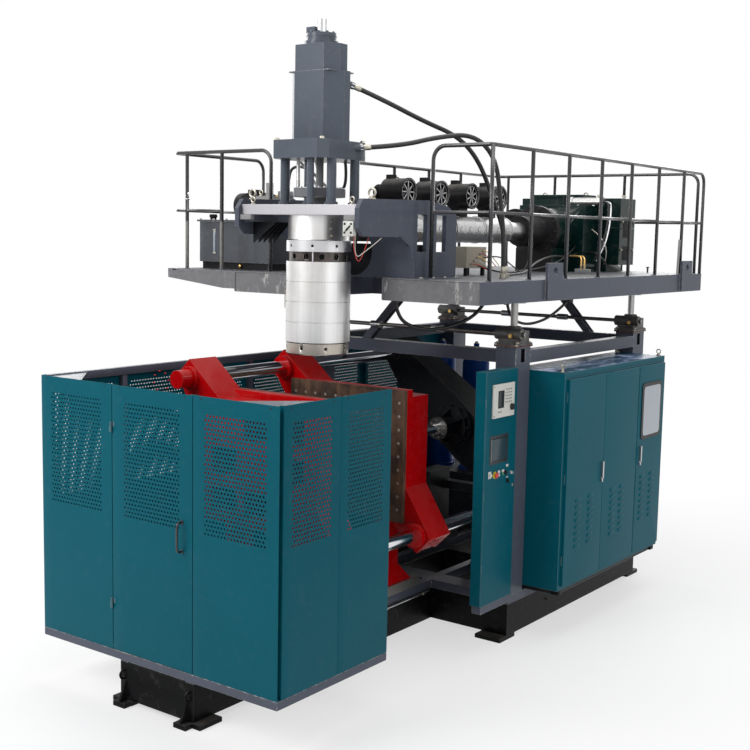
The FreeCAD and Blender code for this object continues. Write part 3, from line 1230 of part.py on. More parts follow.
# ---------------------------------------------------------------- control column
def build_control_column():
    span = ("column_thick", "column_wide", "column_top-column_low")
    body = box("column_body", span, ("column_out-column_thick", COLUMN_FRONT, "column_low"))
    edges = document.addObject("Part::Chamfer", "column_edges")
    edges.Base = body
    document.recompute()
    corner = [k + 1 for k, edge in enumerate(body.Shape.Edges)
              if abs(edge.tangentAt(edge.FirstParameter).z) > 0.9
              and edge.BoundBox.Center.x > size("column_out") - 1
              and edge.BoundBox.Center.y < body.Shape.BoundBox.YMin + 1]
    edges.Edges = [(k, 5.0, 5.0) for k in corner]
    tools = [box("screen_seat", ("30", "292", "236"), ("column_out-22", f"{COLUMN_FRONT}+77", "1576"))]
    for name, from_front, z, radius in CONTROLS:
        tools.append(rod("control_hole", f"{radius}+0.1", "60",
                         ("column_out-50", f"{COLUMN_FRONT}+{from_front}", str(z)), "x"))
    finish(cut("control_column", edges, tools), "control_column")

    panel = box("programmer_body", ("16", "340", "275"), ("column_out", f"{COLUMN_FRONT}+86", "1957"))
    knob_hole = rod("programmer_hole", "9.1", "40", ("column_out-10", KNOB_Y, KNOB_Z), "x")
    finish(cut("programmer", panel, [knob_hole]), "programmer")
    frame = box("screen_frame", ("24", "291.4", "235.4"),
                ("column_out-21.7", f"{COLUMN_FRONT}+77.3", "1576.3"))
    glass = box("screen_glass", ("4", "246", "188"), ("column_out+0.3", f"{COLUMN_FRONT}+100", "1601"))
    finish(cut("touch_screen", frame, [glass]), "touch_screen")


KNOB_Y = f"{COLUMN_FRONT}+378"
KNOB_Z = "2031"

# name, place from the column's front edge, height, radius of the shank
CONTROLS = [
    ("push_button", 89, 1495, 11),
    ("emergency_stop", 168, 1485, 11),
    ("selector_upper", 335, 1485, 11),
    ("selector_lower", 372, 1410, 11),
    ("key_switch", 433, 1470, 11),
]


def build_controls():
    for name, from_front, z, radius in CONTROLS:
        y = f"{COLUMN_FRONT}+{from_front}"
        shank = rod("shank", str(radius), "34", ("column_out-34", y, str(z)), "x")
        if name == "emergency_stop":
            neck = rod("stop_neck", str(radius), "14", ("column_out", y, str(z)), "x")
            head = revolved("stop_head",
                            [("0", "0"), ("20", "0"), ("24", "4"), ("22", "12"), ("12", "18"), ("0", "19")],
                            ("column_out+14", y, str(z)), TURNS["x"])
            solids = [shank, neck, head]
        elif name == "push_button":
            solids = [shank, rod("button_cap", "14", "10", ("column_out+6", y, str(z)), "x"),
                      rod("button_neck", str(radius), "6", ("column_out", y, str(z)), "x")]
        elif name == "key_switch":
            solids = [shank, rod("key_rose", "15", "9", ("column_out+0.3", y, str(z)), "x"),
                      block("key_bow", ("20", "3", "24"), ("column_out+18", y, str(z - 12)))]
        else:
            solids = [shank, rod("selector_rose", "16", "10", ("column_out+0.3", y, str(z)), "x"),
                      block("selector_grip", ("12", "9", "30"), ("column_out+15", y, str(z - 15)))]
        finish(fuse(name, solids), name)
    shank = rod("knob_shank", "9", "18", ("column_out+0.3", KNOB_Y, KNOB_Z), "x")
    cap = rod("knob_cap", "27", "16", ("column_out+16.4", KNOB_Y, KNOB_Z), "x")
    finish(fuse("programmer_knob", [shank, cap]), "programmer_knob")


# ---------------------------------------------------------------- electric cabinet
LEAVES = [
    ("cabinet_door_left", -993, -295),
    ("cabinet_door_middle", -291, 407),
    ("cabinet_door_right", 417, 1003),
]
LEAF_BACK = "(cabinet_out-leaf_thick)"


def build_cabinet():
    deep = f"{LEAF_BACK}-slide_gap-cabinet_back"
    outer = box("cabinet_outer", (deep, "2*cabinet_half", "cabinet_top-bed_top-45"),
                ("cabinet_back", "-cabinet_half", "bed_top+45"))
    plinth = box("cabinet_plinth", (f"{deep}-30", "2*cabinet_half-80", "45"),
                 ("cabinet_back", "-cabinet_half+40", "bed_top"))
    wall = "cabinet_wall"
    hollow = box("cabinet_hollow",
                 (f"{deep}-2*{wall}", f"2*cabinet_half-2*{wall}", f"cabinet_top-bed_top-45-2*{wall}"),
                 (f"cabinet_back+{wall}", f"-cabinet_half+{wall}", f"bed_top+45+{wall}"))
    mouths = [box("cabinet_mouth", ("100", f"{right}-{left}-40", "leaf_high-leaf_low-40"),
                  (f"{LEAF_BACK}-90", f"{left}+20", "leaf_low+20")) for name, left, right in LEAVES]
    finish(cut("cabinet", fuse("cabinet_raw", [outer, plinth]), [hollow] + mouths), "cabinet")


def build_cabinet_doors():
    for name, left, right in LEAVES:
        panel = box(name + "_panel", ("leaf_thick", f"{right}-{left}", "leaf_high-leaf_low"),
                    (LEAF_BACK, str(left), "leaf_low"))
        rounded = document.addObject("Part::Fillet", name + "_edges")
        rounded.Base = panel
        document.recompute()
        outer = [k + 1 for k, edge in enumerate(panel.Shape.Edges)
                 if edge.BoundBox.XMin > size("cabinet_out") - 1]
        rounded.Edges = [(k, 4.0, 4.0) for k in outer]
        hollow = box(name + "_hollow", ("leaf_thick-3", f"{right}-{left}-24", "leaf_high-leaf_low-24"),
                     (f"{LEAF_BACK}-1", f"{left}+12", "leaf_low+12"))
        tools = [hollow]
        if name == "cabinet_door_right":
            tools.append(box("window_hole", ("60", "400", "488"), ("cabinet_out-30", "502", "1567")))
        if name != "cabinet_door_middle":
            y, z = HANDLES[name]
            tools.append(rod("lock_hole", "8.1", "60", ("cabinet_out-30", str(y), str(z)), "x"))
        finish(cut(name, rounded, tools), name)
    seal_outer = box("seal_outer", ("9", "446", "534"), ("cabinet_out+0.3", "479", "1544"))
    rounded = document.addObject("Part::Fillet", "seal_round")
    rounded.Base = seal_outer
    document.recompute()
    corners = [k + 1 for k, edge in enumerate(seal_outer.Shape.Edges)
               if abs(edge.tangentAt(edge.FirstParameter).x) > 0.9]
    rounded.Edges = [(k, 46.0, 46.0) for k in corners]
    finish(rounded, "cabinet_window")


HANDLES = {"cabinet_door_left": (-330, 1310), "cabinet_door_right": (479, 1340)}


def build_cabinet_handles():
    for side in ("left", "right"):
        label = f"door_handle_{side}"
        y, z = HANDLES[f"cabinet_door_{side}"]
        shank = rod("handle_shank", "8", "32", ("cabinet_out-24", str(y), str(z)), "x")
        hub = rod("handle_hub", "17", "14", ("cabinet_out+0.4", str(y), str(z)), "x")
        grip = block("handle_grip", ("14", "24", "150"), ("cabinet_out+17", str(y), str(z)))
        tail = block("handle_tail", ("12", "20", "34"), ("cabinet_out+12", str(y), str(z - 34)))
        finish(fuse(label, [shank, hub, grip, tail]), label)


def build_all():
    build_clamp_base()
    build_main_base()
    build_slide_rails()
    build_post_frame()
    build_screw_jacks()
    build_lift_shafts()
    build_guard_sill()
    build_guard_front()
    build_guard_sides()
    build_guard_door()
    build_front_platen()
    build_moving_platen()
    build_tail_platen()
    build_clamp_cylinder()
    build_platform()
    build_railings()
    build_lift_screws()
    build_head()
    build_head_frame()
    build_push_disc()
    build_extruder_support()
    build_barrel()
    build_blowers()
    build_gearbox()
    build_junction_box()
    build_hydraulic_unit()
    build_hydraulic_station()
    build_hoses()
    build_control_column()
    build_controls()
    build_cabinet()
    build_cabinet_doors()
    build_cabinet_handles()


def check_and_export():
    document.recompute()
    for item in document.Objects:
        if "Invalid" in item.State or "Error" in item.State:
            raise RuntimeError(f"{item.Name} ({item.Label}) is {item.State}")
    os.makedirs("parts", exist_ok=True)
    for item in FINAL:
        if item.Shape.isNull() or not item.Shape.isValid():
            raise RuntimeError(f"{item.Label} has no valid shape")
        item.Shape.exportStep(f"parts/{item.Label}.step")
    print(len(FINAL), "sub-parts written")


build_all()
check_and_export()
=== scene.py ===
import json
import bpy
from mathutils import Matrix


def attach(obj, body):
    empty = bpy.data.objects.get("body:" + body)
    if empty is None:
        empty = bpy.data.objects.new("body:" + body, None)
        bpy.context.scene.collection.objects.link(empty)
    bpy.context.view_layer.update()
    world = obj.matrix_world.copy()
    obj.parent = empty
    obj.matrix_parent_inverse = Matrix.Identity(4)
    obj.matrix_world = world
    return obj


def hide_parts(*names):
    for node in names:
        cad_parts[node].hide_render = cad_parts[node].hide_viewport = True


bl_info = {
    "name": "Blow moulding machine",
    "version": (1, 0, 0),
    "blender": (4, 5, 0),
    "location": "3D View > Sidebar > Machine",
    "description": "Finishes and details of an accumulator-head blow moulding machine",
    "category": "Object",
}

from math import copysign, cos, hypot, pi, radians, sin

import bmesh
import bpy
from bpy.props import FloatProperty, FloatVectorProperty, IntProperty, PointerProperty
from mathutils import Matrix, Vector

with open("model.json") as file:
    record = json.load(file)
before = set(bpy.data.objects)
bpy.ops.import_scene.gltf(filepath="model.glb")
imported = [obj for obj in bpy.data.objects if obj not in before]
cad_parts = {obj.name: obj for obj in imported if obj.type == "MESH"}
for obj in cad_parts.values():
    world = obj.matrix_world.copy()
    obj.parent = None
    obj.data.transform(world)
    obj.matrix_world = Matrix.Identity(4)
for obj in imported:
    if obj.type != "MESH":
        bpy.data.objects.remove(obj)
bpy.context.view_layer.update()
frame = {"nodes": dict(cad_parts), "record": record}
NODES = frame["nodes"]
BODY = {node: body for body, nodes in frame["record"]["behaviour"]["bodies"].items() for node in nodes}
# heights of the deck's surface and of the axes of the clamp, the extruder and the blowers
DECK, CLAMP_Z, BARREL_Z, BLOWER_Z = 3.0662, 1.625, 3.475, 3.782
WHITE = (1, 1, 1, 1)
HERE = (0, 0, 0)
RIGHT, LEFT, FRONT, REAR, UP, DOWN = (1, 0, 0), (-1, 0, 0), (0, -1, 0), (0, 1, 0), (0, 0, 1), (0, 0, -1)


def at(spot):
    """Matrix that moves a part to a place."""
    return Matrix.Translation(spot)


def tone(red, green, blue):
    """A colour as it looks on a screen, 0 to 255, turned into light."""
    def light(value):
        share = value / 255
        return share / 12.92 if share <= 0.04045 else ((share + 0.055) / 1.055) ** 2.4
    return light(red), light(green), light(blue)


def colour_property(name, words, *value):
    return FloatVectorProperty(name=name, description=words, subtype="COLOR", size=3, min=0, max=1,
                               default=tone(*value))


def length_property(name, words, value):
    return FloatProperty(name=name, description=words, default=value, unit="LENGTH")


# ---------------------------------------------------------------- sizes and colours a user may change
class MachineColours(bpy.types.PropertyGroup):
    teal: colour_property("Teal", "Paint of the guard, the control column and the cabinet", 2, 86, 101)
    red: colour_property("Red", "Paint of the two moving platens", 176, 2, 6)
    grey: colour_property("Grey", "Paint of the posts, the platform and the wing", 84, 89, 102)
    head_grey: colour_property("Head grey", "Paint of the head's columns, block and cylinder", 88, 95, 106)
    tail_grey: colour_property("Tail grey", "Paint of the tail platen and the clamp cylinder", 34, 36, 40)
    black: colour_property("Black", "Paint of the base", 9, 10, 12)
    green: colour_property("Green", "Paint of the gear case", 4, 34, 31)
    blue: colour_property("Blue", "Paint of the pressure bottles and the filter", 14, 66, 140)


class GuardSizes(bpy.types.PropertyGroup):
    hole: length_property("Hole", "Diameter of a hole in the guard", 0.0172)
    pitch: length_property("Pitch", "Distance between two holes", 0.0295)
    rows: IntProperty(name="Rows", description="Rows of holes in a panel", default=28, min=2)
    low: length_property("Lowest row", "Height of the lowest row of holes", 1.395)
    sheet: length_property("Sheet", "Thickness of the guard's sheet", 0.003)


class DetailSizes(bpy.types.PropertyGroup):
    thread: length_property("Thread", "Pitch of the lifting screws' thread", 0.012)
    drilling: length_property("Drilling", "Distance between the drillings of a mould plate", 0.110)
    louvre: length_property("Louvre", "Width of a cabinet louvre", 0.110)


class StageSettings(bpy.types.PropertyGroup):
    lens: FloatProperty(name="Lens", description="Focal length of the camera", default=56.64, min=10)
    turn: FloatProperty(name="Turn", description="Camera's heading, clockwise from +Y", default=radians(-36.2834),
                        subtype="ANGLE")
    tilt: FloatProperty(name="Tilt", description="How far the camera looks down", default=radians(6.789),
                        subtype="ANGLE")
    roll: FloatProperty(name="Roll", description="Camera's roll", default=0.0197205, subtype="ANGLE")
    place: FloatVectorProperty(name="Place", description="Camera's place", default=(5.9626, -9.8163, 3.4123),
                               subtype="TRANSLATION", unit="LENGTH")
    key: FloatProperty(name="Key light", description="Power of the main lamp", default=700, min=0)


def settings(name):
    return getattr(bpy.context.scene, name)


# ---------------------------------------------------------------- shader maths and finishes
class Signal:
    """A value in a node tree that can be calculated with."""

    def __init__(self, owner, socket):
        self.owner = owner
        self.socket = socket

    def _with(self, operation, first, second):
        return self.owner.node("ShaderNodeMath", {0: first, 1: second}, operation=operation)

    def __add__(self, other):
        return self._with("ADD", self, other)

    __radd__ = __add__

    def __sub__(self, other):
        return self._with("SUBTRACT", self, other)

    def __rsub__(self, other):
        return self._with("SUBTRACT", other, self)

    def __mul__(self, other):
        return self._with("MULTIPLY", self, other)

    __rmul__ = __mul__

    def __truediv__(self, other):
        return self._with("DIVIDE", self, other)

    def most(self, other):
        return self._with("MAXIMUM", self, other)

    def above(self, edge, softness):
        """0 below an edge and 1 above it, with a soft step between."""
        limits = {"From Min": edge - softness, "From Max": edge + softness}
        return self.owner.node("ShaderNodeMapRange", {"Value": self, **limits}, interpolation_type="SMOOTHSTEP")


class NodeTree:
    """What finishes, the world and geometry trees share: a method that makes any node of a family."""
    family = "ShaderNode"

    def __init__(self, tree):
        self.tree = tree

    def node(self, kind, values=None, out=0, **choices):
        made = self.tree.nodes.new(kind if "Node" in kind else self.family + kind)
        for key, choice in choices.items():
            setattr(made, key, choice)
        for key, value in (values or {}).items():
            for part in value if isinstance(value, list) else [value]:
                if isinstance(part, Signal):
                    self.tree.links.new(part.socket, made.inputs[key])
                else:
                    made.inputs[key].default_value = part
        return Signal(self, made.outputs[out])

    def rays(self, *kinds):
        """For each kind of ray, 1 where it is the one that looks and 0 elsewhere."""
        path = self.tree.nodes.new("ShaderNodeLightPath")
        return [Signal(self, path.outputs[f"Is {kind} Ray"]) for kind in kinds]

    def blend(self, share, first, second, end):
        """Leads a mixture of two shaders to the tree's last node."""
        mixed = self.node("MixShader", {0: share, 1: Signal(self, first.outputs[0]), 2: second})
        self.tree.links.new(mixed.socket, self.tree.nodes[end].inputs["Surface"])


class Finish(NodeTree):
    """A material with one Principled shader, written as a short recipe."""

    def __init__(self, name, colour, roughness=0.4, metallic=0.0, coat=0.0):
        self.material = bpy.data.materials.new(name)
        self.material.use_nodes = True
        super().__init__(self.material.node_tree)
        self.shader = self.tree.nodes["Principled BSDF"]
        self.set("Base Color", (*colour, 1))
        self.set("Roughness", roughness)
        self.set("Metallic", metallic)
        self.set("Coat Weight", coat)
        self.set("Coat Roughness", 0.12)
        self.where = self.node("TexCoord", out="Object")

    def set(self, socket, value):
        if isinstance(value, Signal):
            self.tree.links.new(value.socket, self.shader.inputs[socket])
        else:
            self.shader.inputs[socket].default_value = value

    def noise(self, scale, detail=4, roughness=0.55, stretch=(1, 1, 1), shift=(0, 0, 0)):
        spot = self.node("Mapping", {"Vector": self.where, "Scale": stretch, "Location": shift})
        return self.node("TexNoise", {"Vector": spot, "Scale": scale, "Detail": detail, "Roughness": roughness})

    def mix(self, share, first, second):
        """A colour between two colours."""
        ends = [value if isinstance(value, Signal) else (*value, 1) for value in (first, second)]
        return self.node("Mix", {0: share, 6: ends[0], 7: ends[1]}, 2, data_type="RGBA")

    def upward(self):
        """1 on faces that look up, 0 on the others."""
        normal = self.node("NewGeometry", out="Normal")
        return self.node("SeparateXYZ", {0: normal}, "Z").above(0.6, 0.3)

    def part(self, axis):
        """A coordinate of the place in the machine, in metres."""
        return self.node("SeparateXYZ", {0: self.where}, axis)

    def relief(self, height, depth):
        bump = self.node("Bump", {"Height": height, "Distance": depth, "Strength": 1.0})
        self.set("Normal", bump)


def darker(colour, share):
    return tuple(value * share for value in colour)


def towards(colour, other, share):
    return tuple(a + (b - a) * share for a, b in zip(colour, other))


DUST = tone(150, 146, 140)
BARE_METAL = tone(178, 178, 176)
RUST = tone(104, 66, 44)


def paint(name, colour, roughness=0.32, mottle=0.14, peel=0.0006, grain=90, dust=0.12, coat=0.03, brushed=0.0):
    """Machine paint: slight unevenness, orange peel, dust on what faces up."""
    made = Finish(name, colour, roughness, 0, coat)
    made.set("Specular IOR Level", 0.07)
    cloud = made.noise(1.1, 5, 0.6)
    spots = made.noise(14, 4, 0.6, shift=(3, 1, 2))
    shade = made.mix(cloud.above(0.52, 0.16) * mottle * 2, colour, darker(colour, 0.72))
    shade = made.mix(spots.above(0.62, 0.08) * mottle, shade, towards(colour, DUST, 0.25))
    lying = made.upward() * made.noise(5, 6, 0.65, shift=(0, 4, 1)).above(0.45, 0.2)
    made.set("Base Color", made.mix(lying * dust * 2, shade, DUST))
    made.set("Roughness", roughness + spots * 0.14 + lying * 0.2 - 0.06)
    height = made.noise(grain, 2, 0.5)
    if brushed:
        height = height * 0.35 + made.noise(26, 5, 0.62, shift=(1, 7, 3)) * brushed
    made.relief(height, peel)
    return made.material


def worn_edge(name, colour, metal=BARE_METAL, amount=0.5):
    """The same paint rubbed through along an edge."""
    made = Finish(name, colour, 0.34)
    made.set("Specular IOR Level", 0.15)
    rub = made.noise(38, 5, 0.7).above(1 - amount * 0.9, 0.12)
    made.set("Base Color", made.mix(rub, towards(colour, DUST, 0.12), metal))
    made.set("Metallic", rub * 0.7)
    made.set("Roughness", 0.34 + rub * 0.12)
    return made.material


def metal(name, colour, roughness, streaks=(1, 1, 30), scale=8, stain=0.0, stain_colour=RUST, relief=0.0002):
    """Machined metal with tool marks along a direction and some staining."""
    made = Finish(name, colour, roughness, 1)
    marks = made.noise(scale, 3, 0.6, stretch=streaks)
    cloud = made.noise(3.2, 6, 0.62, shift=(5, 2, 8))
    shade = made.mix(marks.above(0.5, 0.25) * 0.3, colour, darker(colour, 0.74))
    if stain:
        rough_spots = cloud.above(1 - stain, 0.1)
        shade = made.mix(rough_spots, shade, stain_colour)
        made.set("Metallic", 1 - rough_spots * 0.6)
        made.set("Roughness", roughness + marks * 0.12 + rough_spots * 0.25)
    else:
        made.set("Roughness", roughness + marks * 0.12 + cloud * 0.08 - 0.06)
    made.set("Base Color", shade)
    made.relief(marks, relief)
    return made.material


def plastic(name, colour, roughness=0.45, coat=0.0):
    made = Finish(name, colour, roughness, 0, coat)
    cloud = made.noise(30, 3)
    made.set("Base Color", made.mix(cloud.above(0.5, 0.2) * 0.25, colour, darker(colour, 0.85)))
    made.relief(made.noise(700, 2), 0.00012)
    return made.material


def rusty_plate():
    """Machined mould plate: oiled, browned, with darker runs."""
    base = tone(98, 74, 58)
    made = Finish("rusty_mould_plate", base, 0.42, 0.35)
    blotch = made.noise(4.5, 7, 0.68)
    runs = made.noise(9, 4, 0.6, stretch=(1, 1, 0.18), shift=(2, 0, 5))
    shade = made.mix(blotch.above(0.5, 0.14), base, tone(56, 42, 36))
    shade = made.mix(runs.above(0.58, 0.1) * 0.6, shade, tone(126, 92, 70))
    made.set("Base Color", shade)
    made.set("Roughness", 0.36 + blotch * 0.25)
    made.relief(blotch * 0.4 + made.noise(60, 3) * 0.4, 0.0008)
    return made.material


def cast_metal():
    base = tone(92, 92, 92)
    made = Finish("cast_jack_housing", base, 0.5, 0.55)
    grain = made.noise(55, 5, 0.7)
    blotch = made.noise(9, 5, 0.6, shift=(4, 4, 1))
    shade = made.mix(blotch.above(0.55, 0.12) * 0.7, base, tone(52, 46, 42))
    made.set("Base Color", made.mix(grain.above(0.66, 0.06) * 0.5, shade, tone(150, 148, 142)))
    made.set("Roughness", 0.42 + blotch * 0.25)
    made.relief(grain, 0.0022)
    return made.material


def heat_tinted():
    """The drilled neck of the head, browned by heat."""
    base = tone(92, 86, 82)
    made = Finish("heat_tinted_neck", base, 0.38, 0.85)
    blotch = made.noise(7, 6, 0.6, stretch=(1, 1, 0.4))
    made.set("Base Color", made.mix(blotch.above(0.52, 0.14), base, tone(46, 40, 38)))
    made.set("Roughness", 0.3 + blotch * 0.2)
    made.relief(blotch, 0.0004)
    return made.material


def deck_tread():
    """Raised tread of the deck plate, trodden and dusty."""
    base = darker(settings("machine_colours").grey, 0.55)
    made = Finish("deck_tread", base, 0.45, 0.4)
    tread = made.node("TexVoronoi", {"Vector": made.where, "Scale": 26.0})
    dirt = made.noise(3, 6, 0.65)
    raised = tread.above(0.32, 0.1)
    shade = made.mix(raised * 0.5, tone(120, 122, 126), base)
    made.set("Base Color", made.mix(dirt.above(0.5, 0.15) * 0.6, shade, tone(58, 54, 50)))
    made.set("Roughness", 0.35 + dirt * 0.3)
    made.relief(1 - raised, 0.002)
    return made.material


def film_top():
    """Wrinkled clear film left on the cabinet's top, with glints painted along its folds and creases as painted
    highlight.
    """
    teal = settings("machine_colours").teal
    made = Finish("filmed_cabinet_top", teal, 0.4, 0, 0.05)
    made.set("Specular IOR Level", 0.2)
    fold = made.noise(7, 5, 0.62, stretch=(1, 0.35, 1))
    crease = made.noise(16, 4, 0.7, stretch=(0.5, 1, 1), shift=(4, 2, 0))
    # painted highlight: pale glints along the film's folds and creases
    glint = fold.above(0.56, 0.05) + crease.above(0.63, 0.04)
    shade = made.mix(fold.above(0.5, 0.1) * 0.6, darker(teal, 0.5), tone(70, 96, 150))
    made.set("Base Color", made.mix(glint, shade, tone(164, 178, 208)))
    made.relief(fold + crease, 0.006)
    return made.material


def rail_finish():
    """Glossy dark rails; the wing's stanchions are pale on their lower half."""
    dark = tone(36, 36, 40)
    made = Finish("rail_paint", dark, 0.24, 0, 0.4)
    low_half = (1 - made.part("Z").above(3.50, 0.01)) * (1 - made.part("X").above(-1.30, 0.01))
    pale = made.mix(made.noise(22, 4).above(0.5, 0.2) * 0.4, tone(150, 148, 142), tone(112, 108, 102))
    chips = made.noise(30, 5, 0.7, shift=(1, 5, 2)).above(0.68, 0.04) * 0.6
    made.set("Base Color", made.mix(low_half, made.mix(chips, dark, tone(110, 108, 106)), pale))
    made.set("Roughness", 0.22 + made.noise(60, 3) * 0.12 + low_half * 0.2)
    made.relief(made.noise(70, 2), 0.0004)
    return made.material


def scraped_sheen_grey():
    """Grey paint of the deck's front beams, marked by scraping and bumped in handling, and lighter than the grey
    partly as painted highlight on these lit faces.
    """
    # grey lightened towards dust: partly dust, partly painted highlight
    grey = towards(settings("machine_colours").grey, DUST, 0.4)
    made = Finish("scraped_grey_paint", grey, 0.34, 0, 0.1)
    made.set("Specular IOR Level", 0.3)
    bumps = made.noise(16, 6, 0.68)
    strokes = made.noise(13, 5, 0.7, stretch=(1, 1, 0.35), shift=(4, 0, 3))
    # pale strokes: partly paint rubbed through to metal, partly painted glints
    bare_and_glint = strokes.above(0.60, 0.05) * made.noise(2.2, 3).above(0.44, 0.12)
    shade = made.mix(bumps.above(0.5, 0.15) * 0.35, grey, darker(grey, 0.62))
    made.set("Base Color", made.mix(bare_and_glint * 0.75, shade, tone(196, 194, 190)))
    made.set("Roughness", 0.3 + bumps * 0.25)
    made.relief(bumps, 0.006)
    return made.material


def brushed_sheet():
    """Rolled, lightly marked sheet round the head, warm where it was heated."""
    base = tone(226, 226, 226)
    made = Finish("brushed_head_sheet", base, 0.3, 1)
    streaks = made.noise(5, 4, 0.6, stretch=(9, 9, 0.25))
    clouds = made.noise(2.6, 5, 0.6, shift=(3, 8, 1))
    specks = made.noise(60, 3, 0.7).above(0.72, 0.03) * 0.35
    shade = made.mix(streaks.above(0.5, 0.2) * 0.35, base, tone(190, 188, 186))
    shade = made.mix(clouds.above(0.58, 0.12) * 0.25, shade, tone(176, 166, 152))
    made.set("Base Color", made.mix(specks, shade, tone(120, 116, 112)))
    made.set("Roughness", 0.26 + streaks * 0.16)
    made.relief(streaks, 0.0003)
    return made.material


# key, maker, name of the material, its colour and the maker's further values
PLAIN_FINISHES = (
    ("plate", paint, "plate_paint", (150, 150, 150), 0.4, 0.2, 0.0005, 60, 0.1),
    ("steel", metal, "machined_steel", (206, 206, 208), 0.27, (1, 1, 26), 7),
    ("ground", metal, "ground_plate", (172, 170, 174), 0.36, (26, 1, 1), 6),
    ("ring", metal, "die_ring_steel", (186, 178, 168), 0.22, (14, 14, 0.6), 9),
    ("rusty_cap", metal, "rusty_cap_plate", (104, 78, 66), 0.5, (1, 1, 1), 12, 0.6, tone(92, 54, 38)),
    ("screw", metal, "lifting_screw_steel", (176, 176, 174), 0.3, (1, 1, 40), 5),
    ("shaft", metal, "lift_shaft_steel", (120, 118, 114), 0.32, (30, 1, 1), 6, 0.3, tone(60, 50, 44)),
    ("coupling", metal, "coupling_steel", (190, 190, 190), 0.25, (30, 1, 1), 6),
    ("blower", paint, "blower_paint", (26, 26, 28), 0.36, 0.1, 0.0004, 90, 0.12),
    ("fan", metal, "fan_metal", (120, 120, 124), 0.34),
    ("flange", paint, "dark_flange", (42, 40, 42), 0.36, 0.2, 0.001, 60, 0.05),
    ("beige", paint, "beige_paint", (176, 170, 156), 0.42, 0.2, 0.0004, 60, 0.1),
    ("cooler", metal, "cooler_shell", (190, 190, 188), 0.3, (30, 1, 1), 5),
    ("brass", metal, "brass_fitting", (202, 166, 100), 0.28),
    ("zinc", metal, "plated_fitting", (168, 164, 152), 0.34),
    ("shoe", metal, "scraped_shoe", (150, 148, 146), 0.4, (1, 20, 1), 7, 0.35, tone(84, 64, 52)),
    ("push", paint, "push_disc_paint", (120, 122, 126), 0.34, 0.2, 0.0006, 60, 0.1),
    ("tank", paint, "tank_paint", (92, 95, 101), 0.22, 0.3, 0.0006, 60, 0.08, 0.2, 0.8),
    ("motor", paint, "motor_paint", (40, 41, 45), 0.34, 0.15, 0.0006, 80, 0.12),
    ("bottle", paint, "filter_paint", (30, 42, 66), 0.28, 0.1, 0.0004, 60, 0.05, 0.3),
    ("yellow", plastic, "yellow_cap", (214, 168, 30), 0.4, 0.2),
    ("rubber", plastic, "hose_rubber", (20, 20, 21), 0.46),
    ("wire_black", plastic, "black_cable", (16, 16, 17), 0.42),
    ("wire_red", plastic, "red_wire", (176, 40, 36), 0.42),
    ("wire_white", plastic, "pale_wire", (206, 200, 190), 0.5),
    ("white", plastic, "white_plastic", (214, 214, 208), 0.42),
    ("pale", plastic, "pale_grey_plastic", (184, 188, 188), 0.42),
    ("key", plastic, "key_plastic", (120, 124, 124), 0.45),
    ("black_plastic", plastic, "black_plastic", (22, 22, 24), 0.4),
    ("red_plastic", plastic, "red_plastic", (206, 34, 22), 0.3, 0.4),
    ("yellow_plastic", plastic, "yellow_plastic", (222, 202, 40), 0.4),
    ("screen", plastic, "dark_screen", (22, 34, 40), 0.3, 0.05),
    ("lit_screen", plastic, "display", (40, 62, 70), 0.3, 0.05),
    ("window", plastic, "window_pane", (148, 158, 170), 0.1, 0.9),
    ("seal", plastic, "black_seal", (14, 14, 15), 0.5),
    # black parts, and black stand-ins for the shade inside holes, slots and recesses: painted shade
    ("void", plastic, "dark_hole", (10, 10, 11), 0.8),
    ("drill", plastic, "drilled_hole", (140, 130, 120), 0.5),
    ("green_lamp", plastic, "green_lamp", (40, 120, 80), 0.3, 0.4),
)
FINISHES = {}


def make_finishes():
    colours = settings("machine_colours")
    teal, red, grey = tuple(colours.teal), tuple(colours.red), tuple(colours.grey)
    head_grey, tail_grey, black = tuple(colours.head_grey), tuple(colours.tail_grey), tuple(colours.black)
    FINISHES.update({
        "teal": paint("teal_paint", teal, 0.42, 0.1, 0.0003, 120, 0.1),
        "teal_edge": worn_edge("teal_paint_edge", towards(teal, (1, 1, 1), 0.04), tone(52, 112, 122), 0.4),
        "red": paint("red_paint", red, 0.26, 0.1, 0.0006, 60, 0.05, 0.25, 0.5),
        "red_edge": worn_edge("red_paint_edge", red, tone(214, 60, 60), 0.35),
        "grey": paint("grey_paint", grey, 0.34, 0.2, 0.0012, 80, 0.14, 0.15, 1.0),
        "grey_edge": worn_edge("grey_paint_edge", grey, tone(190, 188, 184), 0.5),
        "head": paint("head_paint", head_grey, 0.3, 0.25, 0.0016, 60, 0.06, 0.2, 1.0),
        "head_edge": worn_edge("head_paint_edge", head_grey, tone(170, 172, 172), 0.45),
        "tail": paint("tail_paint", tail_grey, 0.42, 0.15, 0.0008, 80, 0.05),
        "tail_edge": worn_edge("tail_paint_edge", tail_grey, tone(96, 98, 102), 0.35),
        "black": paint("base_paint", black, 0.42, 0.2, 0.0008, 70, 0.1),
        "black_edge": worn_edge("base_paint_edge", black, tone(90, 88, 84), 0.3),
        "rail": rail_finish(),
        "scraped": scraped_sheen_grey(),
        "sheet": brushed_sheet(),
        "brown": rusty_plate(),
        "chrome": metal("chromed_bar", tone(226, 226, 230), 0.08, (1, 30, 1), 6, relief=0.00002),
        "neck": heat_tinted(),
        "cast": cast_metal(),
        "heater": metal("heater_sheet", tone(200, 200, 200), 0.3, (1, 24, 1), 5, relief=0.0005),
        "green": paint("gear_paint", tuple(colours.green), 0.28, 0.25, 0.0012, 60, 0.08, 0.3, 0.8),
        "blue": paint("bottle_paint", tuple(colours.blue), 0.3, 0.1, 0.0004, 60, 0.08),
        "tread": deck_tread(),
        "film": film_top(),
    })
    for key, maker, name, colour, *look in PLAIN_FINISHES:
        FINISHES[key] = maker(name, tone(*colour), *look)


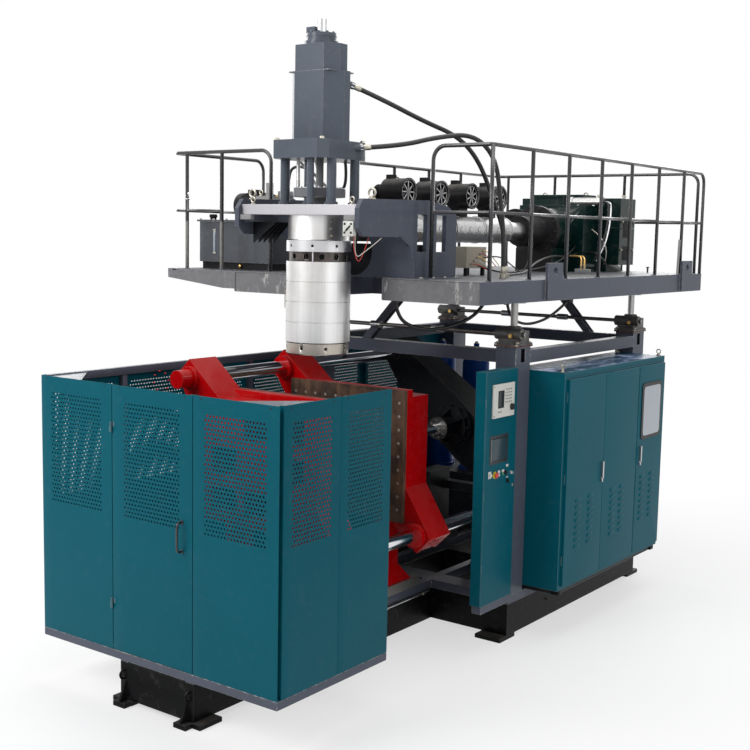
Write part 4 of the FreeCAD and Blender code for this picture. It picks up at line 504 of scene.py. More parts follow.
# ---------------------------------------------------------------- making pieces
def linked(name, data):
    """A new object in the scene."""
    made = bpy.data.objects.new(name, data)
    bpy.context.scene.collection.objects.link(made)
    return made


def add_object(name, mesh, node, replaces=False):
    """A piece with the body of a CAD node, which it may replace."""
    piece = linked(name, mesh)
    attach(piece, BODY[node])
    if replaces:
        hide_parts(node)
    return piece


def smooth_mesh(mesh, degrees=32):
    mesh.shade_smooth()
    mesh.set_sharp_from_angle(angle=radians(degrees))


def baked(piece, name):
    """The piece's mesh with its modifiers worked in."""
    bpy.context.view_layer.update()
    evaluated = piece.evaluated_get(bpy.context.evaluated_depsgraph_get())
    mesh = bpy.data.meshes.new_from_object(evaluated)
    mesh.name = name
    return mesh


def clad(mesh, material):
    """The mesh with one material on all its faces."""
    mesh.materials.clear()
    mesh.materials.append(material)
    for face in mesh.polygons:
        face.material_index = 0
    return mesh


def drawn(work, name):
    """The mesh of what was drawn in a bmesh, which it uses up."""
    mesh = bpy.data.meshes.new(name)
    work.to_mesh(mesh)
    work.free()
    return mesh


def merged(node, flat=True):
    """A copy of a CAD node's mesh with its doubles merged, and its flat faces made whole."""
    mesh = NODES[node].data.copy()
    work = bmesh.new()
    work.from_mesh(mesh)
    bmesh.ops.remove_doubles(work, verts=work.verts, dist=0.00002)
    if flat:
        bmesh.ops.dissolve_limit(work, angle_limit=radians(0.6), verts=work.verts, edges=work.edges)
    work.to_mesh(mesh)
    work.free()
    return mesh


def finished(node, finish, edge, rounding, areas=()):
    """A CAD node with rounded edges and its finishes; areas are pairs of a finish and a test of a face."""
    mesh = merged(node)
    mesh.materials.clear()
    names = [finish] + [name for name, test in areas]
    if edge:
        names.append(edge)
    for name in names:
        mesh.materials.append(FINISHES[name])
    for face in mesh.polygons:
        face.material_index = 0
        for index, (name, test) in enumerate(areas, 1):
            if test(face.center, face.normal):
                face.material_index = index
    smooth_mesh(mesh)
    mesh = rounded(mesh, rounding, len(names) - 1 if edge else -1)
    mesh.name = node + "_finished"
    return add_object(node + "_finished", mesh, node, True)


def surface(mesh):
    return sum(face.area for face in mesh.polygons)


def folded_over(mesh):
    """How much more area a mesh's triangles have than its faces, which shows a face that folds over a hole."""
    mesh.calc_loop_triangles()
    return sum(triangle.area for triangle in mesh.loop_triangles) - surface(mesh)


def reach(mesh):
    spots = [vert.co for vert in mesh.vertices]
    return [pick(spot[k] for spot in spots) for pick in (min, max) for k in range(3)]


def rounded(mesh, width, edge_finish):
    """The mesh with its edges rounded, or less so where the rounding would spoil its surface."""
    area, limits = surface(mesh), reach(mesh)
    holder = linked("rounding_work", mesh)
    bevel = holder.modifiers.new("edges", "BEVEL")
    bevel.segments = 2
    bevel.limit_method = "ANGLE"
    bevel.angle_limit = radians(34)
    bevel.harden_normals = True
    bevel.material = edge_finish
    for bevel.width, bevel.use_clamp_overlap in ((width, False), (width * 0.5, False), (width * 0.25, False),
                                                 (width, True)):
        made = baked(holder, mesh.name)
        grows = max(abs(a - b) for a, b in zip(reach(made), limits))
        if abs(surface(made) / area - 1) < 0.03 and grows < 0.0005 and folded_over(made) < 0.0005:
            break
        print("rounding of", mesh.name, "at", round(bevel.width, 5), "changes its surface by",
              round(surface(made) / area, 3), "and its limits by", round(grows, 4))
    bpy.data.objects.remove(holder)
    return made


class Shape:
    """A mesh put together from plain parts, each with its finish."""

    def __init__(self):
        self.work = bmesh.new()
        self.finishes = []

    def _index(self, finish):
        if finish not in self.finishes:
            self.finishes.append(finish)
        return self.finishes.index(finish)

    def _add(self, part, finish, smooth):
        """Adds a part drawn in a bmesh of its own, its faces turned outward, and uses it up."""
        index = self._index(finish)
        bmesh.ops.recalc_face_normals(part, faces=part.faces)
        for face in part.faces:
            face.material_index = index
            face.smooth = smooth
        mesh = drawn(part, "part")
        self.work.from_mesh(mesh)
        bpy.data.meshes.remove(mesh)
        return self

    def take(self, mesh, place=Matrix.Identity(4)):
        """Adds a mesh with the finishes it has, and uses it up."""
        key_of = {material: key for key, material in FINISHES.items()}
        indices = [self._index(key_of[material]) for material in mesh.materials]
        mesh.transform(place)
        for face in mesh.polygons:
            face.material_index = indices[face.material_index]
        self.work.from_mesh(mesh)
        bpy.data.meshes.remove(mesh)
        return self

    def prism(self, outline, depth, place, finish):
        """An outline in a plane of its own, thickened from 0 to a depth along that plane's normal."""
        part = bmesh.new()
        low = [part.verts.new(place @ Vector((x, y, 0))) for x, y in outline]
        high = [part.verts.new(place @ Vector((x, y, depth))) for x, y in outline]
        part.faces.new(list(reversed(low)))
        part.faces.new(high)
        for k in range(len(outline)):
            after = (k + 1) % len(outline)
            part.faces.new((low[k], low[after], high[after], high[k]))
        return self._add(part, finish, False)

    def box(self, low, high, finish, rounding=0.0):
        part = bmesh.new()
        span = [b - a for a, b in zip(low, high)]
        middle = [(a + b) / 2 for a, b in zip(low, high)]
        place = at(middle) @ Matrix.Diagonal((*span, 1))
        made = bmesh.ops.create_cube(part, size=1, matrix=place)
        if rounding:
            edges = {edge for vert in made["verts"] for edge in vert.link_edges}
            bmesh.ops.bevel(part, geom=list(edges), offset=rounding, segments=2, affect="EDGES",
                            profile=0.5)
        return self._add(part, finish, False)

    def turned(self, profile, place, axis, finish, steps=32, smooth=True):
        """A solid of revolution: profile gives radius and height along the axis, from end to end."""
        part = bmesh.new()
        spin = Vector(UP).rotation_difference(Vector(axis)).to_matrix()
        place = Vector(place)
        rings = []
        for radius, height in profile:
            if radius < 1e-6:
                rings.append([part.verts.new(place + spin @ Vector((0, 0, height)))])
                continue
            ring = []
            for step in range(steps):
                angle = 2 * pi * step / steps
                spot = Vector((radius * cos(angle), radius * sin(angle), height))
                ring.append(part.verts.new(place + spin @ spot))
            rings.append(ring)
        for low, high in zip(rings, rings[1:]):
            for step in range(steps):
                after = (step + 1) % steps
                if len(low) == 1 and len(high) == 1:
                    continue
                if len(low) == 1:
                    part.faces.new((low[0], high[after], high[step]))
                elif len(high) == 1:
                    part.faces.new((low[step], low[after], high[0]))
                else:
                    part.faces.new((low[step], low[after], high[after], high[step]))
        for ring, flip in ((rings[0], True), (rings[-1], False)):
            if len(ring) > 1:
                part.faces.new(list(reversed(ring)) if flip else ring)
        return self._add(part, finish, smooth)

    def rod(self, start, end, radius, finish, steps=16):
        start, end = Vector(start), Vector(end)
        return self.disc(start, end - start, radius, (end - start).length, finish, steps)

    def disc(self, spot, axis, radius, tall, finish, steps):
        return self.turned([(radius, 0), (radius, tall)], spot, axis, finish, steps)

    def nut(self, spot, axis, radius, tall):
        return self.turned([(radius, 0), (radius, tall)], spot, axis, "zinc", 6, False)

    def ring(self, place, axis, radius, thick, finish, steps=24, sides=8):
        """A torus."""
        part = bmesh.new()
        spin = Vector(UP).rotation_difference(Vector(axis)).to_matrix()
        rows = []
        for step in range(steps):
            angle = 2 * pi * step / steps
            row = []
            for side in range(sides):
                turn = 2 * pi * side / sides
                reach = radius + thick * cos(turn)
                spot = Vector((reach * cos(angle), reach * sin(angle), thick * sin(turn)))
                row.append(part.verts.new(Vector(place) + spin @ spot))
            rows.append(row)
        for step in range(steps):
            now, after = rows[step], rows[(step + 1) % steps]
            for side in range(sides):
                other = (side + 1) % sides
                part.faces.new((now[side], after[side], after[other], now[other]))
        return self._add(part, finish, True)

    def tube(self, points, radius, finish, sides=8):
        """A round tube on a NURBS spline."""
        holder = round_curve("tube_work", points, radius * 2, finish, sides, 6)
        self.take(clad(baked(holder, "tube"), FINISHES[finish]))
        bpy.data.objects.remove(holder)
        return self

    def mesh(self, name):
        mesh = drawn(self.work, name)
        for finish in self.finishes:
            mesh.materials.append(FINISHES[finish])
        mesh.set_sharp_from_angle(angle=radians(40))
        return mesh

    def piece(self, name, node, replaces=False):
        return add_object(name, self.mesh(name), node, replaces)


def round_curve(name, points, diameter, finish, sides=12, steps=12):
    """A curve object with a round section on one NURBS spline."""
    curve = bpy.data.curves.new(name, "CURVE")
    curve.dimensions = "3D"
    spline = curve.splines.new("NURBS")
    spline.points.add(len(points) - 1)
    for point, spot in zip(spline.points, points):
        point.co = (*spot, 1)
    spline.order_u = 3
    spline.use_endpoint_u = True
    spline.resolution_u = steps
    curve.bevel_depth = diameter / 2
    curve.bevel_resolution = sides // 2 - 2
    curve.use_fill_caps = True
    curve.materials.append(FINISHES[finish])
    return linked(name, curve)


def free_cord(name, points, diameter, finish, body):
    """A cord that hangs free between two places of the machine."""
    cord = round_curve(name, points, diameter, finish)
    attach(cord, body)
    return cord


# ---------------------------------------------------------------- geometry trees
class GeometryTree(NodeTree):
    """A Geometry Nodes tree with named inputs."""
    family = "GeometryNode"

    def __init__(self, name, inputs):
        super().__init__(bpy.data.node_groups.new(name, "GeometryNodeTree"))
        sockets = self.tree.interface
        sockets.new_socket("Geometry", in_out="INPUT", socket_type="NodeSocketGeometry")
        for label, kind in inputs.items():
            sockets.new_socket(label, in_out="INPUT", socket_type="NodeSocket" + kind)
        sockets.new_socket("Geometry", in_out="OUTPUT", socket_type="NodeSocketGeometry")
        self.start = self.tree.nodes.new("NodeGroupInput")

    def given(self, label):
        return Signal(self, self.start.outputs[label])

    def vector(self, x=0.0, y=0.0, z=0.0):
        return self.node("ShaderNodeCombineXYZ", {"X": x, "Y": y, "Z": z})

    def moved(self, geometry, **shift):
        return self.node("Transform", {"Geometry": geometry, "Translation": self.vector(**shift)})

    def on_points(self, points, instance, rotation=None):
        values = {"Points": points, "Instance": instance}
        if rotation:
            values["Rotation"] = rotation
        return self.node("InstanceOnPoints", values)

    def end(self, geometry):
        """Realises the instances, gives them the finish and closes the tree."""
        plain = self.node("RealizeInstances", {"Geometry": geometry})
        clad = self.node("SetMaterial", {"Geometry": plain, "Material": self.given("Finish")})
        out = self.tree.nodes.new("NodeGroupOutput")
        self.tree.links.new(clad.socket, out.inputs[0])
        return self.tree


def perforation_tree():
    """A field of staggered round holes in a sheet: full rows and rows shifted by half a pitch."""
    tree = GeometryTree("perforation", {"Columns": "Int", "Rows": "Int", "Pitch": "Float", "Hole": "Float",
                                        "Sheet": "Float", "Finish": "Material"})
    pitch, columns, pairs = tree.given("Pitch"), tree.given("Columns"), tree.given("Rows") * 0.5
    square = tree.node("CurvePrimitiveQuadrilateral", {"Width": pitch, "Height": pitch})
    square = tree.node("ResampleCurve", {"Curve": square, "Count": 8}, mode="COUNT")
    hole = tree.node("CurvePrimitiveCircle", {"Resolution": 8, "Radius": tree.given("Hole") * 0.5}, mode="RADIUS")
    outlines = tree.node("JoinGeometry", {0: [square, hole]})
    cell = tree.node("FillCurve", {"Curve": outlines}, mode="TRIANGLES")
    half_cell = tree.node("MeshGrid", {"Size X": pitch * 0.5, "Size Y": pitch, "Vertices X": 2, "Vertices Y": 3})
    tall = (pairs - 1) * pitch * 2

    def spots(across, count):
        return tree.node("MeshGrid", {"Size X": across, "Size Y": tall,
                                                        "Vertices X": count, "Vertices Y": pairs})

    full = tree.on_points(tree.moved(spots((columns - 1) * pitch, columns), y=pitch * -0.5), cell)
    shifted = tree.on_points(tree.moved(spots((columns - 2) * pitch, columns - 1), y=pitch * 0.5), cell)
    ends = tree.on_points(tree.moved(spots((columns - 0.5) * pitch, 2), y=pitch * 0.5), half_cell)
    field = tree.node("JoinGeometry", {0: [full, shifted, ends]})
    field = tree.node("RealizeInstances", {"Geometry": field})
    field = tree.node("MergeByDistance", {"Geometry": field, "Distance": 0.0002})
    back = tree.moved(field, z=tree.given("Sheet") * -1)
    front = tree.node("ExtrudeMesh", {"Mesh": back, "Individual": False, "Offset Scale": tree.given("Sheet")},
                      mode="FACES")
    closed = tree.node("JoinGeometry", {0: [front, tree.node("FlipFaces", {"Mesh": back})]})
    return tree.end(tree.node("MergeByDistance", {"Geometry": closed, "Distance": 0.0002}))


def row_tree():
    """The incoming mesh repeated in a straight row."""
    tree = GeometryTree("row", {"Count": "Int", "Step": "Vector", "Finish": "Material"})
    line = tree.node("MeshLine", {"Count": tree.given("Count"), "Offset": tree.given("Step")}, mode="OFFSET")
    return tree.end(tree.on_points(line, tree.given("Geometry")))


def circle_tree():
    """The incoming mesh repeated round a circle about Z, turned with it."""
    tree = GeometryTree("circle", {"Count": "Int", "Radius": "Float", "Start": "Float", "Finish": "Material"})
    circle = tree.node("MeshCircle", {"Vertices": tree.given("Count"), "Radius": tree.given("Radius")},
                       fill_type="NONE")
    turn = tree.node("InputIndex") * (2 * pi) / tree.given("Count")
    repeated = tree.on_points(circle, tree.given("Geometry"), tree.vector(z=turn))
    return tree.end(tree.node("Transform", {"Geometry": repeated, "Rotation": tree.vector(z=tree.given("Start"))}))


def bead_tree():
    """A weld bead along the incoming edges, swelling from drop to drop."""
    tree = GeometryTree("weld_bead", {"Step": "Float", "Bead": "Float", "Seed": "Float", "Finish": "Material"})
    path = tree.node("MeshToCurve", {"Mesh": tree.given("Geometry")})
    path = tree.node("ResampleCurve", {"Curve": path, "Length": tree.given("Step")}, mode="LENGTH")
    swell = tree.node("ShaderNodeTexNoise", {"W": tree.given("Seed"), "Scale": 55.0, "Detail": 2.0},
                      noise_dimensions="4D")
    section = tree.node("CurvePrimitiveCircle", {"Resolution": 6, "Radius": 1.0}, mode="RADIUS")
    bead = tree.node("CurveToMesh", {"Curve": path, "Profile Curve": section, "Fill Caps": True,
                                                       "Scale": tree.given("Bead") * (swell * 1.1 + 0.35)})
    return tree.end(bead)


TREES = {}


def grown(name, mesh=None, **values):
    """The plain mesh that a geometry tree makes from its inputs."""
    makers = {"perforation": perforation_tree, "row": row_tree, "circle": circle_tree, "weld_bead": bead_tree}
    if name not in TREES:
        TREES[name] = makers[name]()
    tree = TREES[name]
    holder = linked(name + "_work", mesh or bpy.data.meshes.new(name + "_empty"))
    modifier = holder.modifiers.new(name, "NODES")
    modifier.node_group = tree
    for socket in tree.interface.items_tree:
        if socket.in_out == "INPUT" and socket.name in values:
            modifier[socket.identifier] = values[socket.name]
    made = baked(holder, name)
    bpy.data.objects.remove(holder)
    if not made.polygons:
        raise RuntimeError(f"the tree {name} made nothing")
    return clad(made, values["Finish"])


def row(part, count, step, finish):
    return grown("row", part, Count=count, Step=step, Finish=FINISHES[finish])


def circle(part, count, radius, finish, start=0.0):
    return grown("circle", part, Count=count, Radius=radius, Start=start, Finish=FINISHES[finish])


def weld(lines, finish, bead, seed):
    """Weld beads along straight lines, each given by its two ends."""
    mesh = bpy.data.meshes.new("weld_lines")
    spots = [spot for line in lines for spot in line]
    mesh.from_pydata(spots, [(2 * k, 2 * k + 1) for k in range(len(lines))], [])
    return grown("weld_bead", mesh, Step=0.009, Bead=bead, Seed=seed, Finish=FINISHES[finish])


# ---------------------------------------------------------------- repeated small parts
def turned_to(spot, axis):
    """Matrix that puts a part drawn along Z at a place and along an axis."""
    return at(spot) @ Vector(UP).rotation_difference(Vector(axis)).to_matrix().to_4x4()


def hexagon_head(across, tall=0.010):
    """Hexagon head on a washer, drawn from z 0 up."""
    shape = Shape()
    shape.turned([(across * 0.72, 0), (across * 0.72, 0.0022)], HERE, UP, "zinc", 16)
    shape.turned([(across * 0.577, 0.0022), (across * 0.577, tall), (across * 0.46, tall + 0.0014)],
                 HERE, UP, "zinc", 6, False)
    return shape.mesh("hexagon_head")


def socket_head(radius, tall=0.009):
    """Socket head with its hexagon recess, drawn from z 0 up."""
    shape = Shape()
    shape.turned([(radius, 0), (radius, tall - 0.001), (radius - 0.001, tall), (radius * 0.5, tall),
                  (radius * 0.5, tall * 0.45), (0, tall * 0.45)], HERE, UP, "void", 12, False)
    return shape.mesh("socket_head")


def rib(inner, outer, foot, crest, finish, steps, axis):
    """A ring-shaped rib, such as one turn of a thread, with half its width at its foot and at its crest."""
    profile = [(inner, -foot), (outer, -crest), (outer, crest), (inner, foot)]
    return Shape().turned(profile, HERE, axis, finish, steps, False).mesh("rib")


def eye_bolt(shape, spot, radius, axis=REAR):
    """Lifting eye standing on a surface."""
    x, y, z = spot
    shape.turned([(radius * 0.95, 0), (radius * 0.95, 0.008), (radius * 0.5, 0.014), (radius * 0.4, 0.022)],
                 spot, UP, "zinc", 16)
    shape.ring((x, y, z + radius + 0.018), axis, radius, radius * 0.28, "zinc", 20, 8)


def bolt_row(shape, start, step, count, facing, finish="zinc", across=0.024, socket=False):
    """A straight row of bolts whose heads look along an axis."""
    head = socket_head(across / 2) if socket else hexagon_head(across)
    head.transform(turned_to(HERE, facing))
    shape.take(row(head, count, step, finish), at(start))


def bolt_circle(shape, centre, axis, radius, count, finish="zinc", across=0.024, start=0.0, socket=False):
    head = socket_head(across / 2) if socket else hexagon_head(across)
    shape.take(circle(head, count, radius, finish, start), turned_to(centre, axis))


class Maker:
    """What the operators share: each builds its pieces, and is then done."""

    def execute(self, context):
        self.build()
        return {"FINISHED"}


# ---------------------------------------------------------------- guard
GUARD_FACE = -4.283


def folded_tray(width, tall, deep, window):
    """A folded sheet panel with a window, drawn in its own plane: outer face at z 0, flanges behind."""
    columns, rows = [0, window[0], window[2], width], [0, window[1], window[3], tall]
    work = bmesh.new()
    grid = [[work.verts.new((x, y, 0)) for x in columns] for y in rows]
    for j in range(len(rows) - 1):
        for i in range(len(columns) - 1):
            if not i == j == 1:
                work.faces.new((grid[j][i], grid[j][i + 1], grid[j + 1][i + 1], grid[j + 1][i]))

    def outside(edge):
        first, second = (vert.co for vert in edge.verts)
        return any(first[k] == second[k] == limit for k, limit in ((0, 0), (0, width), (1, 0), (1, tall)))

    rim = [edge for edge in work.edges if edge.is_boundary and outside(edge)]
    sides = bmesh.ops.extrude_edge_only(work, edges=rim)["geom"]
    for vert in sides:
        if isinstance(vert, bmesh.types.BMVert):
            vert.co.z = -deep
    bmesh.ops.recalc_face_normals(work, faces=work.faces)
    if sum(face.normal.z * face.calc_area() for face in work.faces) < 0:
        bmesh.ops.reverse_faces(work, faces=work.faces)
    mesh = drawn(work, "tray")
    mesh.materials.append(FINISHES["teal"])
    holder = linked("tray_work", mesh)
    fold = holder.modifiers.new("fold", "BEVEL")
    fold.width, fold.segments, fold.limit_method = 0.004, 3, "ANGLE"
    fold.angle_limit = radians(60)
    wall = holder.modifiers.new("sheet", "SOLIDIFY")
    wall.thickness, wall.offset = settings("machine_guard").sheet, -1
    mesh = baked(holder, "tray")
    bpy.data.objects.remove(holder)
    return mesh


def panel(shape, corner, across, facing, width, tall, columns, share=1.0):
    """A folded panel with a perforated field in its middle; share makes its holes smaller."""
    sizes = settings("machine_guard")
    place = at(corner) @ Matrix((across, UP, facing)).transposed().to_4x4()
    rows = sizes.rows // 2 * 2
    wide, high = columns * sizes.pitch, rows * sizes.pitch
    left, low = (width - wide) / 2, sizes.low - corner[2]
    shape.take(folded_tray(width, tall, 0.040, (left, low, left + wide, low + high)), place)
    field = grown("perforation", Columns=columns, Rows=rows, Pitch=sizes.pitch, Hole=sizes.hole * share,
                  Sheet=sizes.sheet, Finish=FINISHES["teal"])
    shape.take(field, place @ at((left + wide / 2, low + high / 2, 0)))
    # black discs near the top corners stand for holes: painted shade
    for x in (0.075, width - 0.075):
        shape.turned([(0.0065, 0), (0.0065, 0.0008)], place @ Vector((x, tall - 0.021, 0)), facing, "void", 10)


def hinge_half(shape, level, upper):
    """Knuckle and leaf of one half of the guard door's hinge."""
    low = level + (0.0002 if upper else -0.038)
    shape.rod((-0.395, -4.2923, low), (-0.395, -4.2923, low + 0.0378), 0.009, "teal_edge", 14)
    side = (-0.395, -0.366) if upper else (-0.424, -0.395)
    shape.box((side[0], -4.2845, low), (side[1], -4.280, low + 0.0378), "teal_edge", 0.0008)


class MACHINE_OT_guard(Maker, bpy.types.Operator):
    """Folds the perforated guard panels and hangs the door"""
    bl_idname = "machine.guard"
    bl_label = "Guard"

    def build(self):
        fixed = Shape()
        panel(fixed, (-1.169, GUARD_FACE, 0.404), RIGHT, FRONT, 0.772, 1.928, columns=19)
        panel(fixed, (0.406, GUARD_FACE, 0.404), RIGHT, FRONT, 0.763, 1.928, columns=19)
        for level in (0.750, 2.030):
            hinge_half(fixed, level, False)
            fixed.rod((-0.395, -4.2923, level - 0.0342), (-0.395, -4.2923, level + 0.0266), 0.004, "zinc", 10)
        # strips behind the seams that the door closes against
        for x in (-0.394, 0.404):
            fixed.box((x - 0.060, -4.2415, 0.408), (x + 0.024, -4.2385, 2.326), "teal", 0.0008)
        # corner plates that stiffen the guard's top
        for side in (-1, 1):
            corner = at((side * 1.128, -4.242, 2.318)) @ Matrix.Diagonal((-side, 1, 1, 1))
            fixed.prism([(0, 0), (0.36, 0), (0, 0.36)][::-side], 0.006, corner, "grey")
        fixed.piece("guard_front_panels", "guard_front", True)

        door = Shape()
        panel(door, (-0.393, GUARD_FACE, 0.407), RIGHT, FRONT, 0.795, 1.922, columns=19)
        for level in (0.750, 2.030):
            hinge_half(door, level, True)
        low, high, x, reach = 1.250, 1.454, 0.305, -4.331
        door.tube([(x, -4.282, low), (x, -4.300, low), (x, -4.3145, low + 0.002), (x, reach, low + 0.014),
                   (x, reach, (low + high) / 2), (x, reach, high - 0.014), (x, -4.3145, high - 0.002),
                   (x, -4.300, high), (x, -4.282, high)], 0.009, "rail", 12)
        for z in (low, high):
            door.turned([(0.015, 0), (0.015, 0.004), (0.010, 0.006)], (x, GUARD_FACE, z), FRONT, "rail", 16)
        door.piece("guard_door_leaf", "guard_door", True)

        right = Shape()
        for y in (-4.243, -3.6605):
            panel(right, (1.169, y + 0.001, 0.404), REAR, RIGHT, 0.5805, 1.928, columns=14)
        right.piece("guard_right_panels", "guard_side_right", True)

        left = Shape()
        for k in range(4):
            end = -4.243 + 0.739 * (k + 1)
            panel(left, (-1.169, end - 0.001, 0.404), FRONT, LEFT, 0.737, 1.866, columns=20, share=0.6)
            left.box((-1.164, end - 0.030, 0.410), (-1.122, end - 0.006 if k == 3 else end + 0.018, 2.270),
                     "grey", 0.002)
        left.box((-1.169, -4.243, 2.272), (-1.117, -1.287, 2.332), "grey", 0.003)
        left.piece("guard_left_panels", "guard_side_left", True)
        between = Shape()
        for k in range(3):
            end = -1.042 + 0.69467 * (k + 1)
            panel(between, (-1.145, end - 0.001, 0.385), FRONT, LEFT, 0.6927, 1.975, columns=18, share=0.6)
        between.piece("guard_post_panels", "guard_side_left")
        finished("guard_sill", "grey", "grey_edge", 0.003)


# ---------------------------------------------------------------- clamp
def near(value, low, high):
    return low <= value <= high


class MACHINE_OT_clamp(Maker, bpy.types.Operator):
    """Finishes the platens, mould plates, tie bars and the clamp cylinder"""
    bl_idname = "machine.clamp"
    bl_label = "Clamp"

    def build(self):
        shoe = ("shoe", lambda c, n: c.z < 0.4705)
        finished("front_platen", "red", "red_edge", 0.005, [shoe])
        finished("moving_platen", "red", "red_edge", 0.005, [shoe])
        finished("tail_platen", "tail", "tail_edge", 0.005, [("steel", lambda c, n: c.y > 0.0 and n.y > 0.9
                                                              and abs(abs(c.x) - 0.705) < 0.1)])
        ends = ("steel", lambda c, n: abs(n.y) > 0.9)
        finished("tie_bars", "chrome", "steel", 0.003, [ends])
        finished("clamp_piston_rod", "chrome", "steel", 0.002, [ends])
        finished("clamp_cylinder", "tail", "tail_edge", 0.003,
                 [("shaft", lambda c, n: c.y < -0.690)])
        self.plate("front_mould_plate", -2.868, 1)
        self.plate("moving_mould_plate", -2.098, -1)
        self.fixed_parts()
        self.moving_parts()

    def plate(self, node, face, way):
        """Mould plate with rows of tapped drillings along its edges and across its middle."""
        finished(node, "brown", "brown", 0.0015)
        pitch = settings("machine_details").drilling
        dots = Shape()
        mark = Shape().turned([(0.0125, 0), (0.0125, 0.0005), (0.0085, 0.0005), (0.0085, 0.0002),
                               (0, 0.0002)], HERE, (0, way, 0), "pale", 12, False).mesh("drilling")
        for x in (-0.545, -0.435, 0.435, 0.545):
            dots.take(row(mark.copy(), 9, (0, 0, pitch), "drill"), at((x, face, 1.185)))
        for z in (1.185, 1.295, 1.955, 2.065):
            dots.take(row(mark.copy(), 7, (pitch, 0, 0), "drill"), at((-0.33, face, z)))
        dots.piece(node + "_drillings", node)

    def fixed_parts(self):
        parts = Shape()
        # cylinder flange and front gland
        bolt_circle(parts, (0, -0.4735, CLAMP_Z), FRONT, 0.196, 12, "tail", 0.022)
        bolt_circle(parts, (0, -0.6935, CLAMP_Z), FRONT, 0.078, 8, "steel", 0.014, 0.2, True)
        bolt_circle(parts, (0, 0.4072, CLAMP_Z), REAR, 0.122, 10, "steel", 0.022, 0.1)
        # bolted ends of the tie bars on the front platen
        for x, z in ((-0.705, 2.255), (0.705, 0.995)):
            bolt_circle(parts, (x, -3.5135, z), FRONT, 0.081, 8, "red", 0.012, 0.2, True)
        # hydraulic ports and pipes of the clamp cylinder
        for y, z in ((-0.39, 1.779), (0.33, 1.779)):
            parts.rod((0.0, y, z - 0.02), (0.0, y, z + 0.045), 0.022, "steel")
            parts.nut((0.0, y, z + 0.030), UP, 0.026, 0.016)
        parts.box((0.10, 0.18, 1.700), (0.20, 0.30, 1.800), "tail", 0.004)
        parts.tube([(0.0, 0.33, 1.81), (0.0, 0.33, 1.86), (0.05, 0.30, 1.88), (0.12, 0.24, 1.86),
                    (0.15, 0.24, 1.80)], 0.013, "rubber")
        parts.piece("clamp_fixed_details", "tail_platen")

    def moving_parts(self):
        parts = Shape()
        bolt_circle(parts, (0, -1.7535, CLAMP_Z), REAR, 0.092, 8, "steel", 0.016, 0.2)
        # boss behind the moving platen and the stops under its mould plate
        parts.turned([(0.0, 0), (0.055, 0.0), (0.060, 0.02), (0.060, 0.13), (0.0, 0.13)],
                     (0.10, -2.0635, 1.20), REAR, "red", 24)
        for x in (-0.56, 0.56):
            parts.box((x - 0.03, -2.02, 1.045), (x + 0.03, -1.93, 1.085), "brown", 0.003)
        parts.piece("moving_platen_details", "moving_platen")


# ---------------------------------------------------------------- base, posts and jacks
class MACHINE_OT_base(Maker, bpy.types.Operator):
    """Finishes the black base and the grey bed frame"""
    bl_idname = "machine.base"
    bl_label = "Base"

    def build(self):
        finished("clamp_base", "black", "black_edge", 0.003)
        finished("main_base", "black", "black_edge", 0.003)
        finished("slide_rails", "grey", "grey_edge", 0.002,
                 [("ground", lambda c, n: n.z > 0.9 and abs(c.x) < 0.37)])
        parts = Shape()
        # ring hooks at the base's ends
        for x in (-0.33, 0.33):
            parts.ring((x, -4.247, 0.22), RIGHT, 0.030, 0.008, "black")
        for side in (-1, 1):
            for y in (-0.6, 0.6):
                parts.ring((side * 1.147, y, 0.20), REAR, 0.008, 0.004, "black", 12, 6)
        # oil line along the right slide rail
        parts.tube([(0.384, -2.9, 0.30), (0.384, -2.2, 0.292), (0.384, -1.35, 0.30)], 0.009, "steel", 8)
        for y in (-2.7, -2.0, -1.45):
            parts.box((0.366, y, 0.283), (0.396, y + 0.022, 0.311), "zinc", 0.002)
        parts.piece("base_details", "clamp_base")
        welds = weld([((side * 0.3685, -4.20, 0.311), (side * 0.3685, -1.30, 0.311)) for side in (-1, 1)],
                     "grey", 0.004, 1.0)
        add_object("base_welds", welds, "slide_rails")


POSTS = [(x, y) for x in (-1.0485, 1.0485) for y in (-1.1645, 1.1645)]


